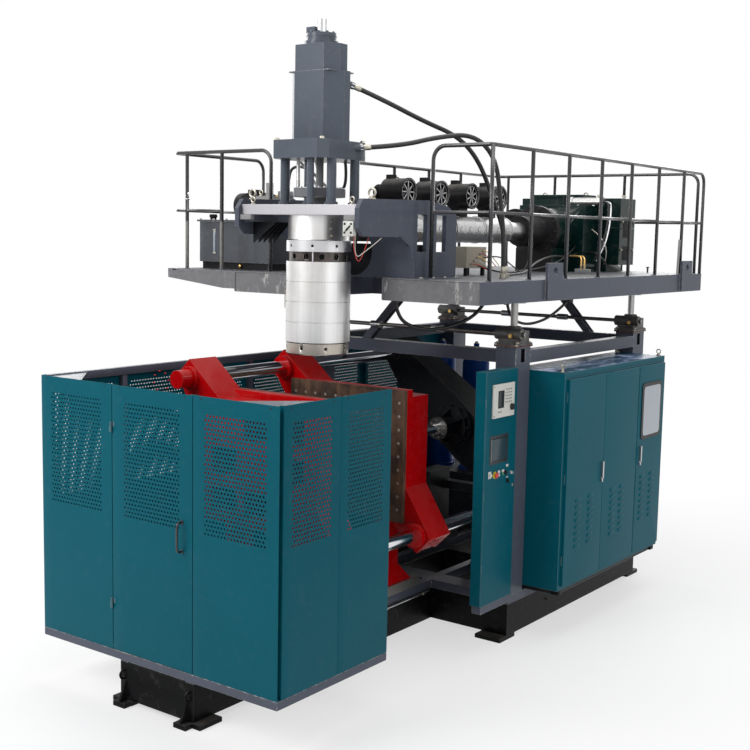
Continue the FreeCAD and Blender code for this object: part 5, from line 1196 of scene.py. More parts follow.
class MACHINE_OT_posts(Maker, bpy.types.Operator):
    """Finishes the posts, the jacks, the lifting screws and their shafts"""
    bl_idname = "machine.posts"
    bl_label = "Posts and jacks"

    def build(self):
        finished("post_frame", "grey", "grey_edge", 0.003, [("rusty_cap", lambda c, n: c.z > 2.5025)])
        finished("screw_jacks", "cast", "cast", 0.004)
        finished("lift_screws", "screw", "steel", 0.0012)
        for node in ("lift_shaft_front", "lift_shaft_rear"):
            finished(node, "shaft", "steel", 0.0015,
                     [("coupling", lambda c, n: near(abs(c.x), 0.27, 0.39)
                       and hypot(c.y - (-1.2365 if c.y < 0 else 1.0925), c.z - 2.611) > 0.019)])
        parts, threads = Shape(), Shape()
        pitch = settings("machine_details").thread
        for x, y in POSTS:
            for dx in (-0.093, 0.093):
                bolt_row(parts, (x + dx, y - 0.098, 2.537), (0, 0.196, 0), 2, UP, "zinc", 0.026)
            bolt_row(parts, (x - 0.1, y - 0.125, 2.5195), (0.2, 0, 0), 2, UP, "zinc", 0.022)
            # cover round the worm, and grease cup
            side = copysign(1, x)
            bolt_circle(parts, (x + side * 0.1235, y - 0.072, 2.611), (side, 0, 0), 0.040, 4, "zinc", 0.010, 0.78)
            parts.turned([(0.012, 0), (0.012, 0.02), (0.018, 0.03), (0.018, 0.048)], (x + 0.05, y - 0.1045, 2.60),
                         FRONT, "brass", 14)
            count = int((2.862 - 2.690) / pitch)
            threads.take(row(rib(0.0296, 0.0325, 0.0030, 0.0014, "screw", 20, UP), count, (0, 0, pitch), "screw"),
                         at((x, y, 2.694)))
        parts.piece("jack_bolts", "screw_jacks")
        threads.piece("lift_screw_threads", "lift_screws")
        caps = [((x - 0.0965, y - 0.1225, 2.502), (x + 0.0965, y - 0.1225, 2.502)) for x, y in POSTS]
        add_object("post_welds", weld(caps, "grey", 0.004, 3.0), "post_frame")


# ---------------------------------------------------------------- platform and railings
class MACHINE_OT_platform(Maker, bpy.types.Operator):
    """Finishes the lifting platform with its tread, scraped beams, welds and railings"""
    bl_idname = "machine.platform"
    bl_label = "Platform"

    # Finishes the lifting platform with its tread, its front beams marked by scraping and given painted highlight,
    # welds and railings
    def build(self):
        finished("platform_frame", "grey", "grey_edge", 0.003, [
            ("tread", lambda c, n: n.z > 0.9 and c.z > 3.065),
            # front faces of the deck's beams: worn grey with painted highlight
            ("scraped", lambda c, n: n.y < -0.9 and c.y < -2.09 and c.z > 2.88),
        ])
        railing = clad(merged("railings", False), FINISHES["rail"])
        smooth_mesh(railing, 40)
        add_object("railing_tubes", railing, "railings", True)
        lines = [((side * 0.354, -2.0985, 3.0635), (side * 1.262, -2.0985, 3.0635)) for side in (-1, 1)]
        lines += [((x, -2.0985, 2.89), (x, -2.0985, 3.06)) for x in (-1.2655, 1.2635, -0.354, 0.354)]
        lines += [((1.2665, y, 2.90), (1.2665, y, 3.07)) for y in (-1.05, -0.79, 1.843, 2.103)]
        add_object("platform_welds", weld(lines, "scraped", 0.007, 5.0), "platform_frame")
        parts = Shape()
        # feet of the stanchions
        spots = [(1.2385, -1.927 + 0.634 * k) for k in range(7)]
        spots += [(0.703, -1.927), (0.345, 2.412), (-0.515, 2.412), (-1.128, 2.412)]
        spots += [(-1.248, 1.562 - 0.643 * k) for k in range(4)]
        spots += [(-1.459, -2.067), (-1.894, -2.067), (-0.879, -2.067), (-2.044, -1.465), (-2.044, -0.863)]
        foot = Shape().turned([(0.026, 0), (0.0235, 0.006), (0.0175, 0.010)], HERE, UP,
                              "grey", 16).mesh("foot")
        for x, y in spots:
            parts.take(foot.copy(), at((x, y, 3.066)))
        # ring hook clamped on the wing's front stanchion
        parts.ring((-1.894, -2.069, 3.74), REAR, 0.021, 0.0055, "steel", 20, 8)
        parts.ring((-1.894, -2.067, 3.70), UP, 0.0195, 0.007, "steel", 20, 8)
        # pin that stands on the rear lug
        parts.rod((1.262, 1.78, 3.07), (1.262, 1.80, 3.42), 0.012, "plate")
        parts.piece("platform_details", "platform_frame")


# ---------------------------------------------------------------- head and its drive
HEAD = (0.0, -2.483)


def round_head(degrees, radius, z):
    """A place round the head's axis, and the way outward there."""
    out = Vector((cos(radians(degrees)), sin(radians(degrees)), 0))
    return Vector((*HEAD, z)) + out * radius, out


class MACHINE_OT_head(Maker, bpy.types.Operator):
    """Finishes the accumulator head and adds its screws, wire, chain and terminal block"""
    bl_idname = "machine.head"
    bl_label = "Head"

    def build(self):
        finished("accumulator_head", "sheet", "steel", 0.0012, [
            ("ring", lambda c, n: c.z < 2.5495),
            # black band in the groove over the die ring; the faces inside the bore are painted black as painted
            # shade
            ("void", lambda c, n: near(c.z, 2.5490, 2.5575)),
            ("neck", lambda c, n: near(c.z, 3.1925, 3.2685)),
            ("steel", lambda c, n: near(c.z, 3.2686, 3.3665)),
            ("void", lambda c, n: hypot(c.x, c.y - HEAD[1]) < 0.225),
        ])
        finished("die_core", "ring", None, 0.001)
        finished("head_plate", "ground", "steel", 0.002, [("shoe", lambda c, n: n.z > 0.9)])
        parts = Shape()
        for degrees in (-62, -18, 72, 162, 252):
            parts.take(socket_head(0.0098, 0.014), turned_to(*round_head(degrees, 0.241, 3.3145)))
        # bright pin that locks the drilled neck, on the camera's side
        parts.rod(round_head(-62, 0.240, 3.194)[0], round_head(-62, 0.240, 3.2675)[0], 0.006, "steel", 12)
        # columns of small screws that close the upper shell
        for degrees in (-28, 150):
            spot, out = round_head(degrees, 0.2458, 3.398)
            bolt_row(parts, spot, (0, 0, 0.056), 3, out, "zinc", 0.016)
        # bolts under the die ring
        bolt_circle(parts, (*HEAD, 2.4598), DOWN, 0.150, 12, "void", 0.018, 0.1, True)
        # steel pads between the ledges and the head plate
        for side in (-1, 1):
            a, b = sorted((side * 0.470, side * 0.640))
            parts.box((max(a, -0.624), -2.772, 3.512), (min(b, 0.624), -2.726, 3.552), "plate", 0.002)
        # gussets under the left ledge
        for k in range(5):
            place = at((-0.586, -2.60 + 0.062 * k, 3.497)) @ Matrix((RIGHT, DOWN, REAR)).to_4x4()
            parts.prism([(0, 0), (0, -0.17), ((0.40 - 0.028 * k) * 0.62, 0)], 0.010, place, "tail")
        # terminal block on the right ledge; its loose wires are with the cables
        parts.box((0.476, -2.790, 3.395), (0.574, -2.748, 3.508), "white", 0.004)
        # black discs for the terminals' openings: painted shade
        for dx, dz in ((-0.03, 0.035), (0.03, 0.035), (-0.03, -0.03), (0.03, -0.03)):
            parts.turned([(0.009, 0), (0.009, 0.003), (0.0, 0.003)], (0.525 + dx, -2.790, 3.452 + dz), FRONT,
                         "void", 12)
        parts.tube([(0.505, -2.792, 3.434), (0.525, -2.803, 3.452), (0.548, -2.792, 3.474)], 0.005, "void", 6)
        # sensing wire down the sleeve's left side
        parts.tube([(-0.259, -2.47, 3.18), (-0.262, -2.462, 2.95), (-0.262, -2.47, 2.75), (-0.261, -2.48, 2.60)],
                   0.0035, "wire_white", 6)
        # short chain at the head's left
        for k in range(9):
            axis = REAR if k % 2 else RIGHT
            parts.ring((-0.283, -2.55, 2.975 - 0.019 * k), axis, 0.0115, 0.0030, "zinc", 12, 6)
        parts.piece("head_details", "accumulator_head")


class MACHINE_OT_head_drive(Maker, bpy.types.Operator):
    """Finishes the columns, the push disc and the cylinder above the head"""
    bl_idname = "machine.head_drive"
    bl_label = "Head drive"

    def build(self):
        finished("head_yoke", "head", "head_edge", 0.003)
        finished("head_cylinder", "head", "head_edge", 0.004,
                 [("steel", lambda c, n: c.z > 4.957 and hypot(c.x, c.y - HEAD[1]) < 0.046)])
        finished("push_disc", "push", "steel", 0.003,
                 [("screw", lambda c, n: c.z > 3.77 and hypot(c.x, c.y - HEAD[1]) > 0.05)])
        parts = Shape()
        # nuts that hold the columns on the head plate, and the caps on the block
        for x in (-0.235, 0.235):
            for y in (-0.146, 0.146):
                spot = (x, HEAD[1] + y, 3.633)
                parts.turned([(0.052, 0), (0.052, 0.020), (0.047, 0.024)], spot, UP, "head", 24)
        bolt_circle(parts, (0, HEAD[1], 4.9565), UP, 0.104, 10, "head", 0.018, 0.15)
        for x in (-0.225, 0.225):
            for y in (-0.255, 0.255):
                parts.take(hexagon_head(0.034, 0.018), turned_to((x, HEAD[1] + y, 4.128), UP))
        for z in (4.20, 4.58):
            for y in (-0.12, 0.12):
                parts.disc((0.2345, HEAD[1] + y * 0.2, z), RIGHT, 0.014, 0.004, "head", 16)
        # joint ring between the two cylinder sections
        parts.box((-0.205, HEAD[1] - 0.150, 4.654), (0.205, HEAD[1] + 0.150, 4.664), "head_edge", 0.002)
        # thread at the foot of the push disc's guides
        threads = Shape()
        for x, y in ((-0.128, -0.112), (0.128, 0.022)):
            threads.take(row(rib(0.0149, 0.0172, 0.003, 0.001, "steel", 14, UP), 5, (0, 0, 0.012), "steel"),
                         at((x, HEAD[1] + y, 3.776)))
        threads.piece("push_guide_threads", "push_disc")
        bolts = Shape()
        bolt_circle(bolts, (0, HEAD[1], 3.767), UP, 0.165, 12, "steel", 0.018, 0.13)
        bolts.piece("push_disc_bolts", "push_disc")
        # eye bolts of the head plate
        for x in (-0.50, 0.50):
            eye_bolt(parts, (x, -2.71, 3.633), 0.020)
        parts.piece("head_drive_details", "head_yoke")


# ---------------------------------------------------------------- extruder and gear case
BLOWER_PITCH = 0.514
BLOWERS = [-1.417 + BLOWER_PITCH * k for k in range(4)]


class MACHINE_OT_extruder(Maker, bpy.types.Operator):
    """Finishes the extruder's support, heater shells and blowers"""
    bl_idname = "machine.extruder"
    bl_label = "Extruder"

    def build(self):
        finished("extruder_support", "grey", "grey_edge", 0.003)
        finished("extruder_barrel", "heater", "steel", 0.0015)
        finished("blower_housings", "blower", None, 0.001)
        for k in range(4):
            node = f"blower_wheel_{k + 1}"
            finished(node, "fan", None, 0.0008)
            blades, middle = Shape(), at((0.1115, BLOWERS[k], BLOWER_Z))
            for step in range(8):
                blade = Shape().box((-0.002, -0.005, 0.030), (0.002, 0.005, 0.094), "coupling", 0.001).mesh("blade")
                blades.take(blade, middle @ Matrix.Rotation(radians(45 * step + 11 * k), 4, "X"))
            blades.ring((0.1115, BLOWERS[k], BLOWER_Z), RIGHT, 0.090, 0.003, "coupling", 32, 6)
            blades.turned([(0.032, -0.004), (0.032, 0.003), (0.026, 0.005), (0, 0.005)],
                          (0.1115, BLOWERS[k], BLOWER_Z), RIGHT, "fan", 24)
            blades.piece(node + "_blades", node)
        parts = Shape()
        for k in range(-1, 4):
            front = -1.647 + BLOWER_PITCH * k
            # clamp screws of each heater shell, on both sides, and its slots
            for share in (0.12, 0.42, 0.72):
                y = front + BLOWER_PITCH * share
                if not near(y, -2.2, 0.70):
                    continue
                for side in (-1, 1):
                    parts.box((side * 0.1235 - 0.006, y - 0.02, 3.458), (side * 0.1235 + 0.006, y + 0.02, 3.492),
                              "steel", 0.002)
                    parts.turned([(0.007, 0), (0.007, 0.008), (0, 0.008)], (side * 0.1235, y, 3.492), UP,
                                 "zinc", 8, False)
                    parts.turned([(0.006, 0), (0.006, 0.012), (0, 0.012)], (side * 0.120, y + 0.055, 3.44),
                                 (side, 0, 0), "white", 10)
            if near(front, -1.7, 0.2):
                for offset in (0.02, 0.13, 0.32):
                    parts.turned([(0.1236, 0), (0.1245, 0.003), (0.1245, 0.011), (0.1236, 0.014)],
                                 (0, front + offset, BARREL_Z), REAR, "steel", 40)
        for y in BLOWERS:
            # ring round the inlet; the motor's terminal box, cable, screws and fins
            parts.ring((0.1190, y, BLOWER_Z), RIGHT, 0.108, 0.0075, "coupling", 40, 8)
            parts.box((-0.063, y - 0.022, 3.896), (-0.037, y + 0.022, 3.922), "plate", 0.003)
            parts.tube([(-0.05, y + 0.028, 3.905), (-0.05, y + 0.07, 3.92), (-0.05, y + 0.12, 3.86),
                        (-0.04, y + 0.125, 3.70), (-0.02, y + 0.11, 3.60)], 0.006, "wire_black", 6)
            bolt_circle(parts, (-0.2202, y, BLOWER_Z), LEFT, 0.045, 4, "zinc", 0.010)
            fins = rib(0.0615, 0.067, 0.002, 0.002, "blower", 24, RIGHT)
            parts.take(row(fins, 7, (0.012, 0, 0), "blower"), at((-0.205, y, BLOWER_Z)))
        # cross plates between the support's cheeks, under the barrel
        for y in (-1.93, -1.70):
            parts.box((-0.584, y - 0.006, 3.068), (0.584, y + 0.006, 3.335), "tail", 0.002)
        # foot bolts and foot plates of the support's cheeks
        for x in (-0.655, 0.655):
            for y in (-2.00, -1.83, -1.66, -1.50):
                parts.take(hexagon_head(0.026, 0.014), at((x + copysign(0.006, x), y, 3.0665)))
            parts.box((x - 0.030 if x > 0 else x - 0.045, -2.04, DECK),
                      (x + 0.045 if x > 0 else x + 0.030, -1.45, 3.0722), "grey", 0.0015)
        for x in (0.605, -0.605):
            eye_bolt(parts, (x, -2.60, 3.677), 0.030)
        parts.piece("extruder_details", "extruder_barrel")
        lines = [((x, -2.05, 3.068), (x, -1.44, 3.068)) for x in (-0.584, 0.584, -0.626, 0.626)]
        add_object("support_welds", weld(lines, "grey", 0.006, 8.0), "extruder_support")


class MACHINE_OT_gear_case(Maker, bpy.types.Operator):
    """Finishes the feed housing, the gear case, its cooler and drive motor"""
    bl_idname = "machine.gear_case"
    bl_label = "Gear case"

    def build(self):
        def cooler(c, n):
            return near(c.x, 0.055, 0.442) and near(c.y, 1.655, 1.765) and c.z > 3.7565

        finished("gearbox", "green", "green", 0.004, [
            ("flange", lambda c, n: c.y < 1.1025),
            ("cooler", cooler),
            ("blower", lambda c, n: c.x < -0.381 and near(c.y, 1.285, 1.854) and c.z < 3.72 and c.z > 3.35
             and hypot(c.x + 0.38, c.z - 3.535) < 0.183),
        ])
        parts = Shape()
        bolt_circle(parts, (0, 1.0418, BARREL_Z), FRONT, 0.235, 14, "void", 0.026)
        bolt_circle(parts, (0, 0.7118, BARREL_Z), FRONT, 0.136, 12, "void", 0.018, 0.1, True)
        bolt_circle(parts, (0.4, 2.2552, BARREL_Z), REAR, 0.120, 8, "green", 0.018)
        # machined joint lines and screws of the case
        parts.box((-0.592, 1.812, 3.52), (0.592, 2.188, 3.532), "green", 0.002)
        screws = [((x, *spot), axis, size) for x in (-0.45, -0.15, 0.15, 0.45) for spot, axis, size in (
            ((1.8148, 3.48), FRONT, (0.024, 0.014)), ((2.1852, 3.48), REAR, (0.024, 0.014)),
            ((1.8148, 3.72), FRONT, (0.020, 0.012)))]
        screws += [((0.590, y, z), RIGHT, (0.024, 0.014)) for y in (1.86, 2.0, 2.14) for z in (3.60, 3.30)]
        for spot, axis, size in screws:
            parts.take(hexagon_head(*size), turned_to(spot, axis))
        # painted shade: thin black boxes stand for the recesses in the case's right end; breather caps on top
        for z in (3.19, 3.43):
            parts.box((0.5895, 1.90, z), (0.5925, 2.10, z + 0.15), "void", 0.001)
        for x, y in ((0.30, 1.90), (0.50, 2.08)):
            parts.turned([(0.014, 0), (0.014, 0.020), (0.026, 0.022), (0.026, 0.034), (0.018, 0.040)],
                         (x, y, 3.8408), UP, "zinc", 20)
        for x in (-0.02, 0.03):
            parts.rod((x, 1.70, 3.75), (x, 1.70, 3.876), 0.008, "void", 10)
        for x in (-0.40, 0.10):
            eye_bolt(parts, (x, 1.98, 3.8408), 0.024)
        # fins of the cooler and of the drive motor
        fin = rib(0.0415, 0.046, 0.0015, 0.0015, "cooler", 24, RIGHT)
        parts.take(row(fin, 15, (0.018, 0, 0), "cooler"), at((0.115, 1.712, 3.801)))
        for k in range(18):
            fin = Shape().box((-0.0025, 0, 0.176), (0.0025, 0.36, 0.190), "blower").mesh("motor_fin")
            parts.take(fin, at((-0.38, 1.42, 3.535)) @ Matrix.Rotation(radians(100 + 10 * k), 4, "Y"))
        # oil pipes of the cooler
        for dy in (-0.03, 0.03):
            parts.tube([(0.444, 1.712 + dy, 3.80), (0.50, 1.70 + dy, 3.80), (0.535, 1.68 + dy, 3.76),
                        (0.545, 1.62 + dy, 3.50), (0.52, 1.55 + dy, 3.30), (0.46, 1.52 + dy, 3.18)], 0.009,
                       "steel" if dy > 0 else "rubber", 8)
        for k in range(2):
            x = 0.60 + 0.035 * k
            parts.tube([(x - 0.16, 0.99, 3.235), (x - 0.05, 0.96, 3.240), (x, 0.93, 3.222),
                        (x + 0.01, 0.91, 3.17), (x + 0.01, 0.91, 3.075)], 0.0085, "brass", 10)
            parts.nut((x + 0.01, 0.91, 3.122), UP, 0.015, 0.018)
        parts.box((0.56, 0.87, DECK), (0.70, 0.95, 3.112), "plate", 0.003)
        parts.tube([(0.20, 1.56, 3.20), (0.45, 1.45, 3.30), (0.62, 1.40, 3.20), (0.60, 1.52, 3.12),
                    (0.40, 1.72, 3.10)], 0.012, "wire_black", 8)
        parts.tube([(0.30, 1.60, 3.55), (0.46, 1.56, 3.48), (0.60, 1.55, 3.30), (0.52, 1.62, 3.15)], 0.005,
                   "wire_white", 6)
        parts.turned([(0.010, 0), (0.010, 0.05), (0.022, 0.055), (0.022, 0.062)], (0.80, 2.10, DECK),
                     UP, "rail", 12)
        parts.piece("gear_case_details", "gearbox")
        finished("junction_box", "beige", None, 0.003, [("flange", lambda c, n: c.z < 3.13)])


# ---------------------------------------------------------------- hydraulics
PUMP_AXIS = (-1.48, 3.656)


class MACHINE_OT_hydraulics(Maker, bpy.types.Operator):
    """Finishes the tank, the pump unit and the oil station with its pressure bottles"""
    bl_idname = "machine.hydraulics"
    bl_label = "Hydraulics"

    def build(self):
        finished("hydraulic_tank", "tank", "grey_edge", 0.004, [
            ("bottle", lambda c, n: c.x < -1.961),
            ("flange", lambda c, n: c.z < 3.1325),
        ])
        finished("hydraulic_pump", "motor", None, 0.003, [
            ("fan", lambda c, n: c.x > -1.3795 and near(c.y, -1.60, -1.36)),
            ("fan", lambda c, n: c.y < -1.60 and c.z > 3.736),
            ("plate", lambda c, n: c.y < -1.60),
        ])
        finished("hydraulic_station", "tail", "tail_edge", 0.004, [("blue", lambda c, n: c.z > 0.972)])
        parts = Shape()
        for k in range(22):
            fin = Shape().box((0, -0.002, 0.110), (0.26, 0.002, 0.122), "motor").mesh("pump_fin")
            parts.take(fin, at((-1.69, *PUMP_AXIS)) @ Matrix.Rotation(radians(-120 + 11.5 * k), 4, "X"))
        parts.turned([(0.1195, 0), (0.1195, 0.055), (0.116, 0.062)], (-1.759, *PUMP_AXIS), RIGHT, "motor", 40)
        bolt_circle(parts, (-1.381, *PUMP_AXIS), RIGHT, 0.101, 8, "zinc", 0.016, 0.2)
        bolt_circle(parts, (-1.1302, *PUMP_AXIS), RIGHT, 0.055, 6, "void", 0.012, 0.2, True)
        parts.box((-1.64, -1.53, 3.760), (-1.54, -1.43, 3.806), "motor", 0.004)
        # yellow cap, fittings and manifold on the pump
        parts.turned([(0.028, 0), (0.028, 0.030), (0.024, 0.036)], (-1.30, -1.48, 3.722), UP, "yellow", 20)
        parts.box((-1.27, -1.53, 3.716), (-1.16, -1.43, 3.790), "fan", 0.004)
        for x in (-1.245, -1.185):
            parts.nut((x, -1.48, 3.789), UP, 0.020, 0.030)
            parts.disc((x, -1.48, 3.816), UP, 0.014, 0.045, "brass", 14)
            parts.disc((x, -1.48, 3.858), UP, 0.018, 0.060, "white", 16)
        for dx, dz in ((-0.05, 0.06), (0.05, 0.06), (0.0, 0.15)):
            parts.nut((-1.20 + dx, -1.8135, 3.53 + dz), FRONT, 0.016, 0.03)
        eye_bolt(parts, (-1.42, -1.48, 3.765), 0.022)
        eye_bolt(parts, (-1.24, -1.79, 3.733), 0.018)
        # tank: filler, level glass, bolts of the lid, drain and the filter's fitting
        parts.turned([(0.030, 0), (0.030, 0.020), (0.038, 0.022), (0.038, 0.046), (0.030, 0.052)],
                     (-1.90, -1.72, 3.5198), UP, "blower", 24)
        for y in (-1.845, -1.275):
            bolt_row(parts, (-1.94, y, 3.5198), (0.164, 0, 0), 6, UP, "zinc", 0.016)
        parts.box((-1.78, -1.8455, 3.22), (-1.755, -1.8395, 3.42), "window", 0.002)
        parts.box((-1.785, -1.8475, 3.205), (-1.750, -1.8395, 3.222), "zinc", 0.002)
        parts.box((-1.785, -1.8475, 3.418), (-1.750, -1.8395, 3.435), "zinc", 0.002)
        parts.turned([(0.016, 0), (0.016, 0.02), (0.011, 0.024)], (-1.45, -1.822, 3.10), FRONT, "brass", 14)
        bolt_circle(parts, (-2.0902, -1.64, 3.226), LEFT, 0.045, 6, "zinc", 0.012)
        parts.turned([(0.012, 0), (0.012, 0.04), (0.018, 0.045), (0.018, 0.055)], (-2.03, -1.64, 3.288),
                     UP, "brass", 14)
        parts.piece("hydraulic_unit_details", "hydraulic_pump")
        station = Shape()
        for x in (-0.48, -0.90):
            station.take(hexagon_head(0.034, 0.02), at((x, 0.75, 2.2995)))
            station.disc((x, 0.75, 1.35), UP, 0.142, 0.028, "zinc", 40)
            station.disc((x, 0.75, 1.80), UP, 0.142, 0.028, "zinc", 40)
        station.piece("station_details", "hydraulic_station")


HOSE_UPPER = [(0.232, -2.362, 4.555), (0.364, -2.167, 4.470), (0.505, -1.800, 4.330), (0.640, -1.470, 4.228),
              (0.722, -1.270, 4.040), (0.778, -1.125, 3.740), (0.835, -0.970, 3.400), (0.835, -0.970, 3.106)]
HOSE_LOWER = [(0.304, -2.323, 4.086), (0.490, -2.080, 4.112), (0.632, -1.770, 4.200), (0.800, -1.490, 4.240),
              (0.902, -1.300, 4.060), (0.925, -1.245, 3.730), (0.945, -1.200, 3.400), (0.945, -1.200, 3.106)]


class MACHINE_OT_hoses(Maker, bpy.types.Operator):
    """Hangs the two pressure hoses between the head's drive and the deck"""
    bl_idname = "machine.hoses"
    bl_label = "Hoses"

    def build(self):
        for node, points, length in (("hose_upper", HOSE_UPPER, 2.322), ("hose_lower", HOSE_LOWER, 2.205)):
            ends = Shape()
            for spot, other in ((points[0], points[1]), (points[-1], points[-2])):
                heading = Vector(other) - Vector(spot)
                ends.turned([(0.021, -0.004), (0.0225, 0.0), (0.0225, 0.055), (0.020, 0.060)], spot, heading,
                            "zinc", 20)
                ends.turned([(0.029, -0.026), (0.029, -0.004)], spot, heading, "steel", 6, False)
            ends = ends.piece(node + "_ferrules", "hose_glands")
            hose = free_cord(node + "_cord", points, 0.038, "rubber", BODY[node])
            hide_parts(node)
        finished("hose_glands", "zinc", None, 0.002)


# ---------------------------------------------------------------- control column and cabinet
class MACHINE_OT_control_column(Maker, bpy.types.Operator):
    """Finishes the control column, its screen, programmer and controls"""
    bl_idname = "machine.control_column"
    bl_label = "Control column"

    def build(self):
        finished("control_column", "teal", "teal_edge", 0.003)
        finished("programmer", "white", "white", 0.004)
        finished("touch_screen", "black_plastic", "black_plastic", 0.002,
                 [("screen", lambda c, n: n.x > 0.9 and near(c.y, -1.684, -1.436) and near(c.z, 1.60, 1.79))])
        finished("push_button", "white", "steel", 0.0015)
        finished("emergency_stop", "red_plastic", None, 0.0008, [("yellow_plastic", lambda c, n: c.x < 1.1835)])
        for node, finish, edge in (("selector_upper", "black_plastic", 0.0012),
                                   ("selector_lower", "black_plastic", 0.0012), ("key_switch", "steel", 0.0008),
                                   ("programmer_knob", "black_plastic", 0.002)):
            finished(node, finish, None, edge)
        parts = Shape()
        face = 1.170
        # programmer: display, function keys and rack handles
        front = 1.186
        parts.box((front - 0.001, -1.622, 2.034), (front + 0.0014, -1.527, 2.177), "void", 0.0006)
        parts.box((front - 0.001, -1.612, 2.046), (front + 0.0020, -1.548, 2.165), "screen", 0.0004)
        key = Shape().box((-0.001, -0.006, -0.005), (0.003, 0.006, 0.005), "key", 0.0008).mesh("key")
        for k in range(4):
            parts.take(row(key.copy(), 5, (0, 0, 0.026), "key"), at((front, -1.500 + 0.028 * k, 2.078)))
        parts.take(row(key, 3, (0, 0.024, 0), "key"), at((front, -1.618, 2.004)))
        for y in (-1.687, -1.367):
            bolt_row(parts, (front - 0.0005, y, 1.975), (0, 0, 0.239), 2, RIGHT, "zinc", 0.008, True)
        # screen: bright edge of the display
        parts.box((1.1485, -1.684, 1.6005), (1.1735, -1.681, 1.789), "pale", 0.0005)
        parts.box((1.1705, -1.676, 1.6085), (1.1727, -1.444, 1.7815), "lit_screen", 0.0005)
        # plates behind the buttons
        def legend(y, z, wide, tall, finish="white"):
            parts.box((face - 0.001, y - wide / 2, z - tall / 2), (face + 0.0016, y + wide / 2, z + tall / 2),
                      finish, 0.0006)
        legend(-1.694, 1.495, 0.046, 0.058)
        for y, z in ((-1.547, 1.504), (-1.482, 1.502), (-1.417, 1.538)):
            legend(y, z, 0.034, 0.022)
        parts.turned([(0.030, 0), (0.030, 0.0022), (0.0115, 0.0022)], (face, -1.615, 1.485), RIGHT,
                     "yellow_plastic", 28)
        for y in (-1.547, -1.482):
            parts.turned([(0.0145, 0), (0.0145, 0.003), (0.0115, 0.006), (0, 0.007)], (face, y, 1.476), RIGHT,
                         "pale" if y < -1.5 else "green_lamp", 18)
        parts.turned([(0.017, 0), (0.017, 0.004), (0.0135, 0.004)], (face, -1.350, 1.470), RIGHT, "steel", 24)
        legend(-1.411, 1.440, 0.030, 0.010)
        # hinges at the column's corner and its lock
        for z in (0.70, 1.30, 2.05):
            parts.rod((1.166, -1.778, z), (1.166, -1.778, z + 0.07), 0.0055, "teal_edge", 10)
        parts.turned([(0.013, 0), (0.013, 0.004), (0.008, 0.006), (0, 0.006)], (face, -1.320, 1.36), RIGHT,
                     "zinc", 18)
        parts.piece("column_details", "control_column")


def louvre_hood(wide):
    """Pressed hood of a louvre, drawn from x 0 outward."""
    section = [(0, 0), (0.0105, 0), (0.0105, 0.008), (0.0085, 0.018), (0.0045, 0.026), (0, 0.030)]
    work = bmesh.new()
    rings = [[work.verts.new((x * share, spread * wide, z)) for x, z in section]
             for spread, share in ((-0.5, 0.03), (-0.4, 1), (0.4, 1), (0.5, 0.03))]
    for low, high in zip(rings, rings[1:]):
        for k in range(len(section)):
            after = (k + 1) % len(section)
            work.faces.new((low[k], low[after], high[after], high[k]))
    work.faces.new(rings[0])
    work.faces.new(rings[-1][::-1])
    bmesh.ops.recalc_face_normals(work, faces=work.faces)
    mesh = drawn(work, "louvre")
    mesh.materials.append(FINISHES["teal"])
    smooth_mesh(mesh, 50)
    return mesh


